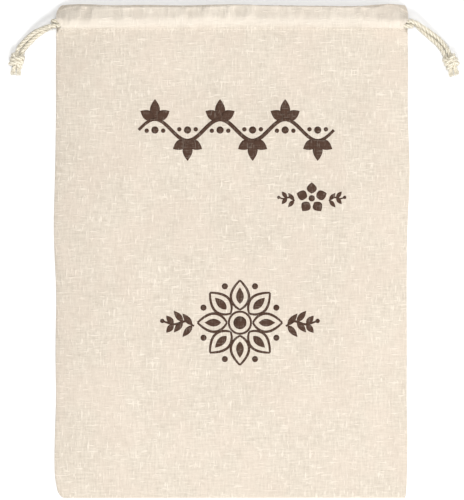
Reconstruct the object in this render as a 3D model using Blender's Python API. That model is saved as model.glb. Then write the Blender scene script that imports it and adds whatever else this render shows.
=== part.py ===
"""Linen bread bag, lying empty on its back, with a drawcord out at each side of the mouth.

Metres, +Z up. +Y points from the bottom seam to the mouth, +X to the right of the front.
The origin is on the surface that the bag lies on, under the middle of the cloth.
"""
import math
from collections import namedtuple

import bmesh
import bpy
from mathutils import Matrix, Vector

MM = 0.001

# Driving sizes, in millimetres
CLOTH = 1.0
GAP = 0.3
CORD_DIAMETER = 3.5
CORD_LAY = 12.0
CORD_CLEARANCE = 0.3
HALF_LENGTH = 210.7
CASING_DEPTH = 23.5
MOUTH_GAP = 4.4
MOUTH_DROOP = 1.6
HANG_SHARE = 0.45
LOFT = 9.35

# How far in from an edge the front takes to rise, and how steeply it starts
SIDE_RISE, SIDE_POWER = 75.0, 2.6
BOTTOM_RISE, BOTTOM_POWER = 190.0, 2.2
MOUTH_RISE, MOUTH_POWER = 85.0, 2.2

# How far below the casing the front starts to lift towards it, in the middle and at a slit
CASING_BLEND = 52.0
SLIT_BLEND = 12.0
SLIT_WIDTH = 40.0
EDGE_FADE = 8.0

CORD_RADIUS = CORD_DIAMETER / 2
CORD_SPACING = CORD_DIAMETER + GAP
TUNNEL = CORD_RADIUS + CORD_CLEARANCE
STITCH_Y = HALF_LENGTH - CASING_DEPTH
CASING_THICKNESS = 2 * CLOTH + 2 * TUNNEL

# Side edges of the bag, from the bottom seam to the top fold
Edge = namedtuple("Edge", "y left right")
SIDES = [
    Edge(-210.7, -143.0, 147.4),
    Edge(-208.0, -146.4, 148.4),
    Edge(-203.0, -148.8, 148.9),
    Edge(-188.0, -150.9, 149.5),
    Edge(-157.0, -150.7, 149.8),
    Edge(-127.0, -149.8, 149.2),
    Edge(-86.0, -150.2, 149.3),
    Edge(-35.0, -149.7, 149.2),
    Edge(16.0, -151.6, 149.7),
    Edge(67.0, -150.6, 151.6),
    Edge(118.0, -149.8, 150.2),
    Edge(160.0, -149.8, 150.4),
    Edge(187.0, -149.4, 149.9),
    Edge(201.0, -149.2, 150.1),
    Edge(207.0, -147.6, 149.2),
    Edge(210.7, -143.4, 146.8),
]

# How far the top fold stands out from a straight line, from left to right
Crest = namedtuple("Crest", "x out")
TOP_FOLD = [
    Crest(-150.0, -0.9),
    Crest(-134.0, 0.0),
    Crest(-106.0, -0.9),
    Crest(-75.0, -0.6),
    Crest(-44.0, -1.1),
    Crest(-3.0, -0.2),
    Crest(28.0, -0.9),
    Crest(68.0, -1.3),
    Crest(110.0, -1.6),
    Crest(125.0, -0.5),
    Crest(140.0, 0.0),
    Crest(150.0, -0.9),
]

# Where the middle of the cord pair lies in the casing, from left to right
Lane = namedtuple("Lane", "x y")
CORD_LANE = [
    Lane(-150.0, 194.0),
    Lane(-110.0, 194.2),
    Lane(-57.0, 195.2),
    Lane(-1.0, 196.1),
    Lane(58.0, 194.6),
    Lane(126.0, 193.5),
    Lane(150.0, 193.6),
]

# Soft upright ridges where the drawn cloth puckers, on the front casing and just below it
Pucker = namedtuple("Pucker", "x height width reach")
PUCKERS = [
    Pucker(-129.0, 0.7, 3.4, 10.0),
    Pucker(-117.5, 0.5, 3.0, 6.0),
    Pucker(-40.0, 0.7, 3.6, 14.0),
    Pucker(-22.0, 0.8, 3.8, 9.0),
    Pucker(-2.5, 0.6, 3.2, 16.0),
    Pucker(16.5, 0.7, 3.6, 8.0),
    Pucker(58.0, 0.7, 4.0, 12.0),
    Pucker(112.0, 0.9, 4.4, 10.0),
]

# Broad swells and hollows of the front, where the cloth doesn't lie even
Swell = namedtuple("Swell", "x y height radius_x radius_y")
SWELLS = [
    Swell(-82.0, 104.0, 0.6, 40.0, 70.0),
    Swell(72.0, 58.0, -0.3, 46.0, 60.0),
    Swell(-52.0, -64.0, -0.6, 48.0, 60.0),
    Swell(84.0, -96.0, 0.8, 40.0, 58.0),
    Swell(-6.0, -140.0, 0.5, 50.0, 40.0),
]

# Rows of the cloth from the bottom seam to the foot of the casing
FOOT_STEP = 1.6
FRONT_ROWS = [-210.7, -208.0, -203.0, -194.0, -180.0, -160.0, -134.0, -104.0, -70.0, -35.0,
              0.0, 36.0, 70.0, 100.0, 126.0, 146.0, 161.0, 173.0, 181.0,
              STITCH_Y - FOOT_STEP]
BACK_ROWS = [-210.7, -208.0, -203.0, -188.0, -127.0, -35.0, 16.0, 67.0, 118.0, 160.0,
             STITCH_Y - FOOT_STEP]

# The casing's hollow: stations up one wall, as shares of the slope below the cords, of the
# flat over them and of the slope above them, with the hollow's share of its full height
FULL_SHARE = 0.84
Station = namedtuple("Station", "part share height")
STATIONS = [
    Station("below", 0.55, 0.46),
    Station("over", -1.0, FULL_SHARE),
    Station("over", -0.5, 1.0),
    Station("over", 0.5, 1.0),
    Station("over", 1.0, FULL_SHARE),
    Station("above", 0.25, 0.62),
    Station("above", 0.58, 0.34),
    Station("above", 0.94, 0.12),
]
OVER_CORDS = CORD_SPACING
RIPPLE_FADE = 0.45
HOLLOW_FOOT = 0.7
HOLLOW_TOP = 1.4
FOLD_INSET = 0.35
FOLD_SHOULDER = 0.7
BEND_HEIGHT = 0.12
BEND_DEPTH = 0.2
CREASE_DEGREES = 50.0

# Columns of each panel, and the three that follow each pucker
FRONT_COLUMNS = 18
BACK_COLUMNS = 16
PUCKER_SIDE = 1.15
COLUMN_APART = 4.0

# The free stretch of each cord, from its slit to its knot: the middle of its two strands,
# half the distance between them, and the height of the front and of the back strand
Step = namedtuple("Step", "x y spread front back")
LEFT_ROUTE = [
    Step(-153.5, 191.4, 0.15, 9.5, 3.1),
    Step(-159.1, 189.2, 0.8, 7.7, 2.6),
    Step(-166.7, 185.1, 1.6, 4.8, 2.1),
    Step(-174.0, 178.6, 2.0, 2.6, 2.1),
    Step(-178.6, 173.4, 2.0, 2.8, 2.6),
]
RIGHT_ROUTE = [
    Step(152.6, 195.4, 0.0, 9.6, 3.1),
    Step(156.4, 194.0, 0.2, 8.9, 2.9),
    Step(160.4, 191.0, 0.8, 7.3, 2.5),
    Step(167.2, 185.8, 1.6, 4.8, 2.1),
    Step(175.4, 179.2, 2.0, 2.6, 2.1),
    Step(180.6, 173.2, 2.0, 2.8, 2.6),
]
BIGHT_REACH = 2.7
BIGHT_STEPS = 8
FREE_STEP = 1.9
HELD_STEP = 14.0
CURVE_STEPS = 24
CORD_SIDES = 9
CORD_STRANDS = 3
LOBE_VALLEY = 0.84

# A knot: its middle, the way the cord goes into it and the way its tails point
Knot = namedtuple("Knot", "x y into_x into_y tail_x tail_y")
LEFT_KNOT = Knot(-182.9, 162.3, -0.31, -0.95, -0.10, -1.0)
RIGHT_KNOT = Knot(186.6, 161.4, 0.45, -0.89, 0.27, -0.96)
KNOT_HEIGHT = 5.1
KNOT_CORE = (4.9, 4.7, 4.3)
CORE_AROUND, CORE_UP = 14, 8
WRAP_RADIUS = 1.85
WRAP_SIDE = 4.9
WRAP_UP = 3.2
WRAP_TILT = 30.0
WRAP_STEPS = 16
WRAP_SIDES = 8
STRAND_OFFSET = 2.0
STUB_HEIGHT = 3.6
STUB_BACK = 7.4
STUB_INSIDE = 2.0
ENTRY_STRAIGHT = 2.5

# The two tails: where they start and end beside the knot's middle line, and how high
TAIL_START = 2.0
TAIL_LENGTH = 7.6
TAIL_ROOT_SIDE, TAIL_ROOT_HEIGHT = 1.4, 3.4
TAIL_TIP_SIDE, TAIL_TIP_HEIGHT = 2.1, 2.2
TAIL_RADIUS, TAIL_TIP_RADIUS = 1.7, 1.84

# The yarns that stand out of each tail's end, their lengths as shares of the longest
FRAY_LENGTH = 5.3
FRAY_SHARES = (0.75, 0.88, 1.0, 0.8, 0.95, 0.84)
FRAY_RADIUS, FRAY_TIP_RADIUS, FRAY_SIDES = 0.6, 0.28, 4
FRAY_ROOT_RING, FRAY_TIP_RING = 0.95, 1.9
FRAY_ROOT_DEPTH = 1.0
FRAY_SPLAY = 0.5
FRAY_DROP = 0.4
FRAY_LOWEST = 0.35

LINEN, LINEN_ROUGHNESS = (0.855, 0.745, 0.637, 1.0), 0.92
COTTON, COTTON_ROUGHNESS = (0.88, 0.82, 0.70, 1.0), 0.88


def clear_scene():
    for old in list(bpy.data.objects):
        bpy.data.objects.remove(old, do_unlink=True)


def material(name, colour, roughness):
    made = bpy.data.materials.new(name)
    made.use_nodes = True
    shader = made.node_tree.nodes["Principled BSDF"]
    shader.inputs["Base Color"].default_value = colour
    shader.inputs["Roughness"].default_value = roughness
    shader.inputs["Metallic"].default_value = 0.0
    return made


def ease(share):
    share = min(max(share, 0.0), 1.0)
    return share * share * (3 - 2 * share)


def rise(distance, span, power):
    """0 at an edge, 1 at the span from it, steepest at the edge."""
    return 1 - (1 - min(max(distance / span, 0.0), 1.0)) ** power


def read(table, key, column, at):
    """A smooth curve through the rows of a table."""
    keys = [getattr(row, key) for row in table]
    values = [getattr(row, column) for row in table]
    at = min(max(at, keys[0]), keys[-1])
    i = max(k for k in range(len(keys) - 1) if keys[k] <= at)

    def slope(k):
        low, high = max(k - 1, 0), min(k + 1, len(keys) - 1)
        return (values[high] - values[low]) / (keys[high] - keys[low])

    span = keys[i + 1] - keys[i]
    t = (at - keys[i]) / span
    return (values[i] * (1 + 2 * t) * (1 - t) ** 2 + slope(i) * span * t * (1 - t) ** 2
            + values[i + 1] * t * t * (3 - 2 * t) + slope(i + 1) * span * t * t * (t - 1))


def across(share, y):
    """The x of a column at height y, following the bag's uneven sides."""
    left = read(SIDES, "y", "left", y)
    right = read(SIDES, "y", "right", y)
    return left + share * (right - left)


def edge_distance(share, y):
    """How far a column is from the nearer side of the bag."""
    return min(share, 1 - share) * (across(1.0, y) - across(0.0, y))


def pucker(x, y):
    total = 0.0
    for ridge in PUCKERS:
        side = math.exp(-((x - ridge.x) / ridge.width) ** 2)
        below = ease((y - (STITCH_Y - ridge.reach)) / ridge.reach)
        total += ridge.height * side * below
    return total


def casing_under(share, along, hollow):
    """Underside of the front casing: on the back one at the sides, ajar in the middle."""
    stacked = min(hollow / FULL_SHARE, TUNNEL)
    at_side = 2 * CLOTH + 2 * stacked + GAP
    mouth = CASING_THICKNESS + MOUTH_GAP
    hang = HANG_SHARE * (2 * TUNNEL - 2 * hollow)
    in_middle = mouth + hang - MOUTH_DROOP * ease(along / CASING_DEPTH)
    lift = rise(edge_distance(share, STITCH_Y + along), MOUTH_RISE, MOUTH_POWER)
    return at_side + lift * (in_middle - at_side)


def front_under(share, y):
    """Underside of the front cloth between the bottom seam and the casing."""
    x = across(share, y)
    inward = edge_distance(share, y)
    loft = rise(inward, SIDE_RISE, SIDE_POWER) * rise(y + HALF_LENGTH, BOTTOM_RISE, BOTTOM_POWER)
    uneven = sum(s.height * math.exp(-((x - s.x) / s.radius_x) ** 2 - ((y - s.y) / s.radius_y) ** 2)
                 for s in SWELLS)
    body = CLOTH + GAP + (LOFT + uneven) * loft
    foot = casing_under(share, 0.0, 0.0) + CLOTH
    reach = SLIT_BLEND + (CASING_BLEND - SLIT_BLEND) * ease(inward / SLIT_WIDTH)
    near = ease((y - (STITCH_Y - reach)) / reach)
    return body + near * (foot - body) + pucker(x, y) * ease(inward / EDGE_FADE)


def casing_stations(share):
    """Distance above the stitch line and half height of the hollow at each station."""
    x = across(share, STITCH_Y + CASING_DEPTH / 2)
    lane = read(CORD_LANE, "x", "y", x) - STITCH_Y
    top = CASING_DEPTH + read(TOP_FOLD, "x", "out", x) - HOLLOW_TOP
    below = lane - OVER_CORDS
    above = top - lane - OVER_CORDS
    found = []
    for s in STATIONS:
        along = {"below": below * s.share,
                 "over": lane + OVER_CORDS * s.share,
                 "above": lane + OVER_CORDS + above * s.share}[s.part]
        found.append((along, TUNNEL * s.height))
    return found, top


def ripple(x, along, hollow):
    """Puckers fade where the cords fill the casing."""
    filled = (hollow / TUNNEL - RIPPLE_FADE) / (1 - RIPPLE_FADE)
    return pucker(x, STITCH_Y + along) * (1 - ease(filled))


def section(share, rows, under, casing_low):
    """One column of a panel: its outer outline and the outline of its hollow, paired."""
    tops, lows = [], []
    for y in rows:
        low = under(share, y)
        tops.append((across(share, y), y, low + CLOTH))
        lows.append((across(share, y), y, low))
    foot_low = casing_low(share, 0.0, 0.0)
    x_foot = across(share, STITCH_Y)
    tops.append((x_foot, STITCH_Y, foot_low + 2 * CLOTH))
    lows.append((x_foot, STITCH_Y, foot_low))

    ring_up, ring_down, ceiling, floor = [], [], [], []
    stations, top = casing_stations(share)
    for along, hollow in stations:
        y = STITCH_Y + along
        x = across(share, y)
        low = casing_low(share, along, hollow)
        ring_up.append((x, y, low + 2 * CLOTH + 2 * hollow))
        ceiling.append((x, y, low + CLOTH + 2 * hollow))
        floor.append((x, y, low + CLOTH))
        ring_down.append((x, y, low))
    nose = STITCH_Y + top
    x = across(share, nose)
    x_nose = across(share, nose + HOLLOW_TOP)
    low = ring_down[-1][2]
    high = ring_up[-1][2]
    middle = (low + high) / 2
    shoulder = nose + FOLD_SHOULDER * HOLLOW_TOP
    lies_flat = low == 0.0
    fold = [(x, shoulder, high - FOLD_INSET),
            (x_nose, nose + HOLLOW_TOP, middle),
            (x, shoulder, low if lies_flat else low + FOLD_INSET)]
    bend = [(x, nose, middle + BEND_HEIGHT),
            (x, nose + BEND_DEPTH, middle),
            (x, nose, middle - BEND_HEIGHT)]
    start = (x_foot, STITCH_Y + HOLLOW_FOOT, foot_low + CLOTH)
    outer_ring = ring_up + fold + ring_down[::-1]
    hollow_ring = ceiling + bend + floor[::-1]
    return tops, lows, outer_ring, hollow_ring, start


def panel(name, cloth, columns, rows, under, casing_low):
    """One cut of cloth with its casing, lofted from its columns and closed at both sides."""
    mesh = bpy.data.meshes.new(name)
    bm = bmesh.new()

    def points(places):
        return [bm.verts.new(Vector(place) * MM) for place in places]

    def skin(loop_a, loop_b):
        for i in range(len(loop_a)):
            j = (i + 1) % len(loop_a)
            bm.faces.new((loop_a[i], loop_a[j], loop_b[j], loop_b[i]))

    def close_side(tops, lows, outer_ring, hollow_ring, foot):
        for i in range(len(tops) - 1):
            bm.faces.new((tops[i], tops[i + 1], lows[i + 1], lows[i]))
        wall = [tops[-1]] + outer_ring + [lows[-1]]
        inside = foot + hollow_ring + foot
        bm.faces.new((tops[-1], foot[0], lows[-1]))
        for i in range(len(wall) - 1):
            bm.faces.new((wall[i], wall[i + 1], inside[i + 1], inside[i]))

    strips = []
    for share in columns:
        tops, lows, outer_ring, hollow_ring, start = section(share, rows, under, casing_low)
        strips.append([points(p) for p in (tops, lows, outer_ring, hollow_ring, [start])])
    outers = [tops + ring + lows[::-1] for tops, lows, ring, _, _ in strips]
    hollows = [foot + ring for _, _, _, ring, foot in strips]
    for loops in (outers, hollows):
        for loop_a, loop_b in zip(loops, loops[1:]):
            skin(loop_a, loop_b)
    close_side(*strips[0])
    close_side(*strips[-1])
    bmesh.ops.recalc_face_normals(bm, faces=bm.faces)
    bm.to_mesh(mesh)
    bm.free()
    mesh.materials.append(cloth)
    mesh.shade_smooth()
    mesh.set_sharp_from_angle(angle=math.radians(CREASE_DEGREES))
    made = bpy.data.objects.new(name, mesh)
    bpy.context.scene.collection.objects.link(made)
    return made


def front_casing_low(share, along, hollow):
    x = across(share, STITCH_Y + along)
    fade = ease(edge_distance(share, STITCH_Y) / EDGE_FADE)
    return casing_under(share, along, hollow) + fade * ripple(x, along, hollow)


def back_under(share, y):
    """The back cloth lies flat."""
    return 0.0


def back_casing_low(share, along, hollow):
    """The back casing lies flat too."""
    return 0.0


def even_columns(count):
    return [i / count for i in range(count + 1)]


def front_columns():
    """Even columns, with three more at each pucker in place of those close to it."""
    left = across(0.0, STITCH_Y)
    width = across(1.0, STITCH_Y) - left
    near = []
    for ridge in PUCKERS:
        for side in (-PUCKER_SIDE, 0, PUCKER_SIDE):
            near.append((ridge.x + side * ridge.width - left) / width)
    apart = COLUMN_APART / width
    plain = [c for c in even_columns(FRONT_COLUMNS) if all(abs(c - n) > apart for n in near)]
    return sorted(plain + near)


def smooth_route(places, step):
    """Points at even steps on a smooth curve through the route's own points."""
    places = [Vector(p) for p in places]
    ends = [places[0] * 2 - places[1]] + places + [places[-1] * 2 - places[-2]]
    fine = []
    for a, b, c, d in zip(ends, ends[1:], ends[2:], ends[3:]):
        for i in range(CURVE_STEPS):
            t = i / CURVE_STEPS
            fine.append(0.5 * (2 * b + (c - a) * t + (2 * a - 5 * b + 4 * c - d) * t ** 2
                               + (3 * b - a - 3 * c + d) * t ** 3))
    fine.append(places[-1])
    walked = [0.0]
    for a, b in zip(fine, fine[1:]):
        walked.append(walked[-1] + (b - a).length)
    count = max(round(walked[-1] / step), 1)
    found, k = [], 0
    for i in range(count + 1):
        goal = walked[-1] * i / count
        while k < len(walked) - 2 and walked[k + 1] < goal:
            k += 1
        share = (goal - walked[k]) / (walked[k + 1] - walked[k])
        found.append(fine[k].lerp(fine[k + 1], share))
    return found


def held_stretch(columns, side, casing_low):
    """The cord's way through a casing, from left to right, beside the other cord."""
    found = []
    for share in columns:
        x = across(share, STITCH_Y + CASING_DEPTH / 2)
        lane = read(CORD_LANE, "x", "y", x)
        low = casing_low(share, lane - STITCH_Y, TUNNEL)
        found.append(Vector((x, lane + side * CORD_SPACING / 2, low + CLOTH + TUNNEL)))
    return found


def held_columns(columns):
    """Columns of the front that the cord follows, about a held step apart."""
    step = HELD_STEP / (across(1.0, STITCH_Y) - across(0.0, STITCH_Y))
    found = [columns[0]]
    for share in columns[1:-1]:
        if share - found[-1] >= step and 1 - share >= step / 2:
            found.append(share)
    return found + [columns[-1]]


def turn(front_end, back_end, outward):
    """The short bight where a cord leaves one casing and goes into the other."""
    middle = (front_end + back_end) / 2
    reach = (front_end.z - back_end.z) / 2
    found = []
    for i in range(1, BIGHT_STEPS):
        angle = math.pi * i / BIGHT_STEPS
        out = GAP + BIGHT_REACH * math.sin(angle)
        found.append(middle + Vector((outward * out, 0.0, reach * math.cos(angle))))
    return found


def knot_frame(knot):
    """Local axes of a knot: X across it, Y back towards the bag, Z up."""
    into = Vector((knot.into_x, knot.into_y, 0)).normalized()
    beside = Vector((-into.y, into.x, 0))
    turned = Matrix((beside, -into, Vector((0, 0, 1)))).transposed()
    return turned.to_4x4(), into, beside


def entry(knot, side):
    """Where a strand meets the knot."""
    _, into, beside = knot_frame(knot)
    place = Vector((knot.x, knot.y, STUB_HEIGHT)) - into * (STUB_BACK + GAP)
    return place + beside * side * STRAND_OFFSET, into


def free_strand(start, route, knot, side, column):
    """One strand from the slit to its knot, on its own side of the pair."""
    middle = [start] + [Vector((s.x, s.y, 0)) for s in route]
    end, into = entry(knot, side)
    places = [start]
    for i, s in enumerate(route, 1):
        ahead = middle[i + 1] if i + 1 < len(middle) else end
        way = ahead - middle[i - 1]
        way.z = 0
        way.normalize()
        beside = Vector((-way.y, way.x, 0)) * side * s.spread
        places.append(Vector((s.x, s.y, getattr(s, column))) + beside)
    places += [end - into * ENTRY_STRAIGHT, end]
    return smooth_route(places, FREE_STEP)


def lobed_profile():
    """The cross-section of a cord of three strands."""
    curve = bpy.data.curves.new("cord_section", "CURVE")
    curve.dimensions = "2D"
    spline = curve.splines.new("POLY")
    spline.points.add(CORD_SIDES - 1)
    for i in range(CORD_SIDES):
        on_strand = i % (CORD_SIDES // CORD_STRANDS) == 0
        radius = CORD_RADIUS if on_strand else CORD_RADIUS * LOBE_VALLEY
        angle = -2 * math.pi * i / CORD_SIDES
        spline.points[i].co = (radius * math.cos(angle) * MM, radius * math.sin(angle) * MM, 0, 1)
    spline.use_cyclic_u = True
    made = bpy.data.objects.new("cord_section", curve)
    made.hide_render = True
    made.display_type = "WIRE"
    bpy.context.scene.collection.objects.link(made)
    return made


def drawcord(name, cotton, profile, places, first_free, last_free):
    """A cord along its whole route, its twist raised where it shows."""
    curve = bpy.data.curves.new(name, "CURVE")
    curve.dimensions = "3D"
    curve.twist_mode = "MINIMUM"
    curve.bevel_mode = "OBJECT"
    curve.bevel_object = profile
    curve.use_fill_caps = True
    spline = curve.splines.new("POLY")
    spline.points.add(len(places) - 1)
    tilt = 0.0
    for i, place in enumerate(places):
        if i > 0:
            shows = i <= first_free or i > last_free
            if shows:
                tilt += 2 * math.pi * (place - places[i - 1]).length / CORD_LAY
        spline.points[i].co = (*(place * MM), 1)
        spline.points[i].tilt = tilt
    curve.materials.append(cotton)
    made = bpy.data.objects.new(name, curve)
    bpy.context.scene.collection.objects.link(made)
    return made


def build_cord(name, cotton, profile, columns, at_left, side, route, knot):
    """Both free strands, both casings and the turn at the far side, as one cord."""
    steps = held_columns(columns)
    front = held_stretch(steps, side, front_casing_low)
    back = held_stretch(steps, side, back_casing_low)
    far_way = 1 if at_left else -1
    if not at_left:
        front.reverse()
        back.reverse()
    front_free = free_strand(front[0], route, knot, -far_way, "front")
    back_free = free_strand(back[0], route, knot, far_way, "back")
    bight = turn(front[-1], back[-1], far_way)
    places = front_free[::-1] + front[1:] + bight + back[::-1][:-1] + back_free
    first = len(front_free) - 1
    last = len(places) - len(back_free)
    return drawcord(name, cotton, profile, places, first, last)


def helper(name, bm):
    """A shape that is only joined into a knot."""
    mesh = bpy.data.meshes.new(name)
    bmesh.ops.recalc_face_normals(bm, faces=bm.faces)
    bm.to_mesh(mesh)
    bm.free()
    made = bpy.data.objects.new(name, mesh)
    made.hide_render = True
    made.display_type = "WIRE"
    return made


def rod(name, start, end, radius_start, radius_end, sides):
    """A round or pointed stretch of cord or yarn."""
    bm = bmesh.new()
    way = end - start
    turned = way.to_track_quat("Z", "Y").to_matrix().to_4x4()
    place = Matrix.Translation((start + end) / 2 * MM) @ turned
    bmesh.ops.create_cone(bm, cap_ends=True, segments=sides, radius1=radius_start * MM,
                          radius2=radius_end * MM, depth=way.length * MM, matrix=place)
    return helper(name, bm)


def wrap(name, middle, frame, tilt):
    """One turn of cord round the knot."""
    bm = bmesh.new()
    upright = Matrix.Rotation(math.pi / 2, 4, "X")
    at_side = Matrix.Translation((WRAP_SIDE * MM, 0, 0)) @ upright
    ring = bmesh.ops.create_circle(bm, segments=WRAP_SIDES, radius=WRAP_RADIUS * MM,
                                   matrix=at_side)
    bmesh.ops.spin(bm, geom=ring["verts"] + bm.edges[:], cent=(0, 0, 0), axis=(0, 0, 1),
                   angle=2 * math.pi, steps=WRAP_STEPS, use_merge=True, use_duplicate=False)
    flatten = Matrix.Diagonal((1, (WRAP_UP + WRAP_RADIUS) / (WRAP_SIDE + WRAP_RADIUS), 1, 1))
    swing = Matrix.Rotation(math.radians(tilt), 4, "Z")
    place = Matrix.Translation(middle * MM) @ frame @ swing @ upright @ flatten
    bmesh.ops.transform(bm, matrix=place, verts=bm.verts)
    return helper(name, bm)


def tail(label, knot, side):
    """One end of the cord below the knot, with its yarns standing apart."""
    way = Vector((knot.tail_x, knot.tail_y, 0)).normalized()
    beside = Vector((-way.y, way.x, 0))
    up = Vector((0, 0, 1))
    foot = Vector((knot.x, knot.y, 0))
    root = foot + beside * side * TAIL_ROOT_SIDE + way * TAIL_START + up * TAIL_ROOT_HEIGHT
    tip = foot + beside * side * TAIL_TIP_SIDE + way * TAIL_LENGTH + up * TAIL_TIP_HEIGHT
    pieces = [rod(label + "_tail", root, tip, TAIL_RADIUS, TAIL_TIP_RADIUS, WRAP_SIDES)]
    for i, share in enumerate(FRAY_SHARES):
        angle = 2 * math.pi * (i + (0.5 if side > 0 else 0.0)) / len(FRAY_SHARES)
        ring = beside * math.cos(angle) + up * math.sin(angle)
        start = tip - way * FRAY_ROOT_DEPTH + ring * FRAY_ROOT_RING
        end = tip + way * FRAY_LENGTH * share + ring * FRAY_TIP_RING + beside * side * FRAY_SPLAY
        end.z = max(end.z - FRAY_DROP, FRAY_LOWEST)
        pieces.append(rod(f"{label}_fray_{i}", start, end, FRAY_RADIUS, FRAY_TIP_RADIUS,
                          FRAY_SIDES))
    return pieces


def build_knot(name, cotton, knot):
    """Both ends of a cord tied in one overhand knot, with frayed tails."""
    frame, into, beside = knot_frame(knot)
    middle = Vector((knot.x, knot.y, KNOT_HEIGHT))
    level = Vector((knot.x, knot.y, STUB_HEIGHT))
    bm = bmesh.new()
    bmesh.ops.create_uvsphere(bm, u_segments=CORE_AROUND, v_segments=CORE_UP, radius=1.0)
    size = Matrix.Diagonal((*(v * MM for v in KNOT_CORE), 1))
    bmesh.ops.transform(bm, matrix=Matrix.Translation(middle * MM) @ frame @ size, verts=bm.verts)
    mesh = bpy.data.meshes.new(name)
    bm.to_mesh(mesh)
    bm.free()
    mesh.materials.append(cotton)
    made = bpy.data.objects.new(name, mesh)
    bpy.context.scene.collection.objects.link(made)

    pieces = [wrap(name + "_wrap_a", middle, frame, WRAP_TILT),
              wrap(name + "_wrap_b", middle, frame, -WRAP_TILT)]
    for label, side in ((name + "_a", -1), (name + "_b", 1)):
        beyond = beside * side * STRAND_OFFSET
        pieces.append(rod(label + "_stub", level + beyond - into * STUB_BACK,
                          level + beyond - into * STUB_INSIDE, CORD_RADIUS, CORD_RADIUS,
                          CORD_SIDES))
        pieces += tail(label, knot, side)
    parts = bpy.data.collections.new(name + "_parts")
    bpy.context.scene.collection.children.link(parts)
    for piece in pieces:
        parts.objects.link(piece)
    join = made.modifiers.new("join", "BOOLEAN")
    join.operation = "UNION"
    join.solver = "EXACT"
    join.operand_type = "COLLECTION"
    join.collection = parts
    return made


def main():
    clear_scene()
    linen = material("linen", LINEN, LINEN_ROUGHNESS)
    cotton = material("cotton_cord", COTTON, COTTON_ROUGHNESS)
    columns = front_columns()
    panel("front_panel", linen, columns, FRONT_ROWS, front_under, front_casing_low)
    panel("back_panel", linen, even_columns(BACK_COLUMNS), BACK_ROWS, back_under, back_casing_low)
    profile = lobed_profile()
    build_cord("drawcord_left", cotton, profile, columns, True, -1, LEFT_ROUTE, LEFT_KNOT)
    build_cord("drawcord_right", cotton, profile, columns, False, 1, RIGHT_ROUTE, RIGHT_KNOT)
    build_knot("knot_left", cotton, LEFT_KNOT)
    build_knot("knot_right", cotton, RIGHT_KNOT)


main()
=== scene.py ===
"""Linen bread bag: finished cloth, twisted drawcords, knots, stitching, print and stage.

Tables are in millimetres, finished meshes in metres. +Y points from the bottom seam to the
mouth, +X to the right of the front, and the bag lies on the surface at Z 0.
"""

import math
import random
from collections import namedtuple

import bmesh
import bpy
from mathutils import Matrix, Vector, noise


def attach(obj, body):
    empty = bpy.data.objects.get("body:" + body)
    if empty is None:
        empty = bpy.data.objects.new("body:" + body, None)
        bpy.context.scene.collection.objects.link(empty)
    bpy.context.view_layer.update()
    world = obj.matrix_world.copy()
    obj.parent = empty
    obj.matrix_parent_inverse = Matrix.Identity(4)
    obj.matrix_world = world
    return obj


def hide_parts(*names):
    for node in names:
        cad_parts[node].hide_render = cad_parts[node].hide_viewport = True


bl_info = {
    "name": "Linen bread bag",
    "version": (1, 0, 0),
    "blender": (4, 5, 0),
    "location": "3D View > Sidebar > Bread Bag",
    "description": "Dresses the linen bread bag with cloth, cords, stitching and print",
    "category": "Object",
}

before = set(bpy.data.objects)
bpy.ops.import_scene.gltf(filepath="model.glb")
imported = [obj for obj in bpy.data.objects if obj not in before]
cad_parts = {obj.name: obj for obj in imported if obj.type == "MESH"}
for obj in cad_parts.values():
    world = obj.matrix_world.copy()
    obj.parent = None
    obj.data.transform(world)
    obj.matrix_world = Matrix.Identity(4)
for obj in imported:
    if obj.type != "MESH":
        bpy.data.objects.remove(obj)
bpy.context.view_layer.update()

MM = 0.001
UP = Vector((0, 0, 1))


def table(fields, *rows):
    """Rows of sizes whose columns have names."""
    row = namedtuple("Row", fields)
    return [row(*values) for values in rows]


# Sizes of the bag
CLOTH = 1.0
GAP = 0.3
MEAN_WIDTH = 300.0
CORD_DIAMETER = 3.5
CORD_LAY = 12.0
CORD_CLEARANCE = 0.3
HALF_LENGTH = 210.7
CASING_DEPTH = 23.5
MOUTH_GAP, MOUTH_DROOP = 4.4, 1.6
HANG_SHARE = 0.45
LOFT = 9.35
SIDE_RISE, SIDE_POWER = 75.0, 2.6
BOTTOM_RISE, BOTTOM_POWER = 190.0, 2.2
MOUTH_RISE, MOUTH_POWER = 85.0, 2.2
CASING_BLEND = 52.0
SLIT_BLEND, SLIT_WIDTH = 12.0, 40.0
EDGE_FADE = 8.0
FULL_SHARE = 0.84
RIPPLE_FADE = 0.45
HOLLOW_TOP = 1.4

CORD_RADIUS = CORD_DIAMETER / 2
CORD_SPACING = CORD_DIAMETER + GAP
TUNNEL = CORD_RADIUS + CORD_CLEARANCE
STITCH_Y = HALF_LENGTH - CASING_DEPTH
CASING_THICKNESS = 2 * CLOTH + 2 * TUNNEL
OVER_CORDS = CORD_SPACING

# Side edges of the bag, from the bottom seam to the top fold
SIDES = table(
    "y left right",
    (-210.7, -143.0, 147.4), (-208.0, -146.4, 148.4), (-203.0, -148.8, 148.9),
    (-188.0, -150.9, 149.5), (-157.0, -150.7, 149.8), (-127.0, -149.8, 149.2),
    (-86.0, -150.2, 149.3), (-35.0, -149.7, 149.2), (16.0, -151.6, 149.7),
    (67.0, -150.6, 151.6), (118.0, -149.8, 150.2), (160.0, -149.8, 150.4),
    (187.0, -149.4, 149.9), (201.0, -149.2, 150.1), (207.0, -147.6, 149.2),
    (210.7, -143.4, 146.8))

# How far the top fold stands out from a straight line
TOP_FOLD = table(
    "x out",
    (-150.0, -0.9), (-134.0, 0.0), (-106.0, -0.9), (-75.0, -0.6), (-44.0, -1.1), (-3.0, -0.2),
    (28.0, -0.9), (68.0, -1.3), (110.0, -1.6), (125.0, -0.5), (140.0, 0.0), (150.0, -0.9))

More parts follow.
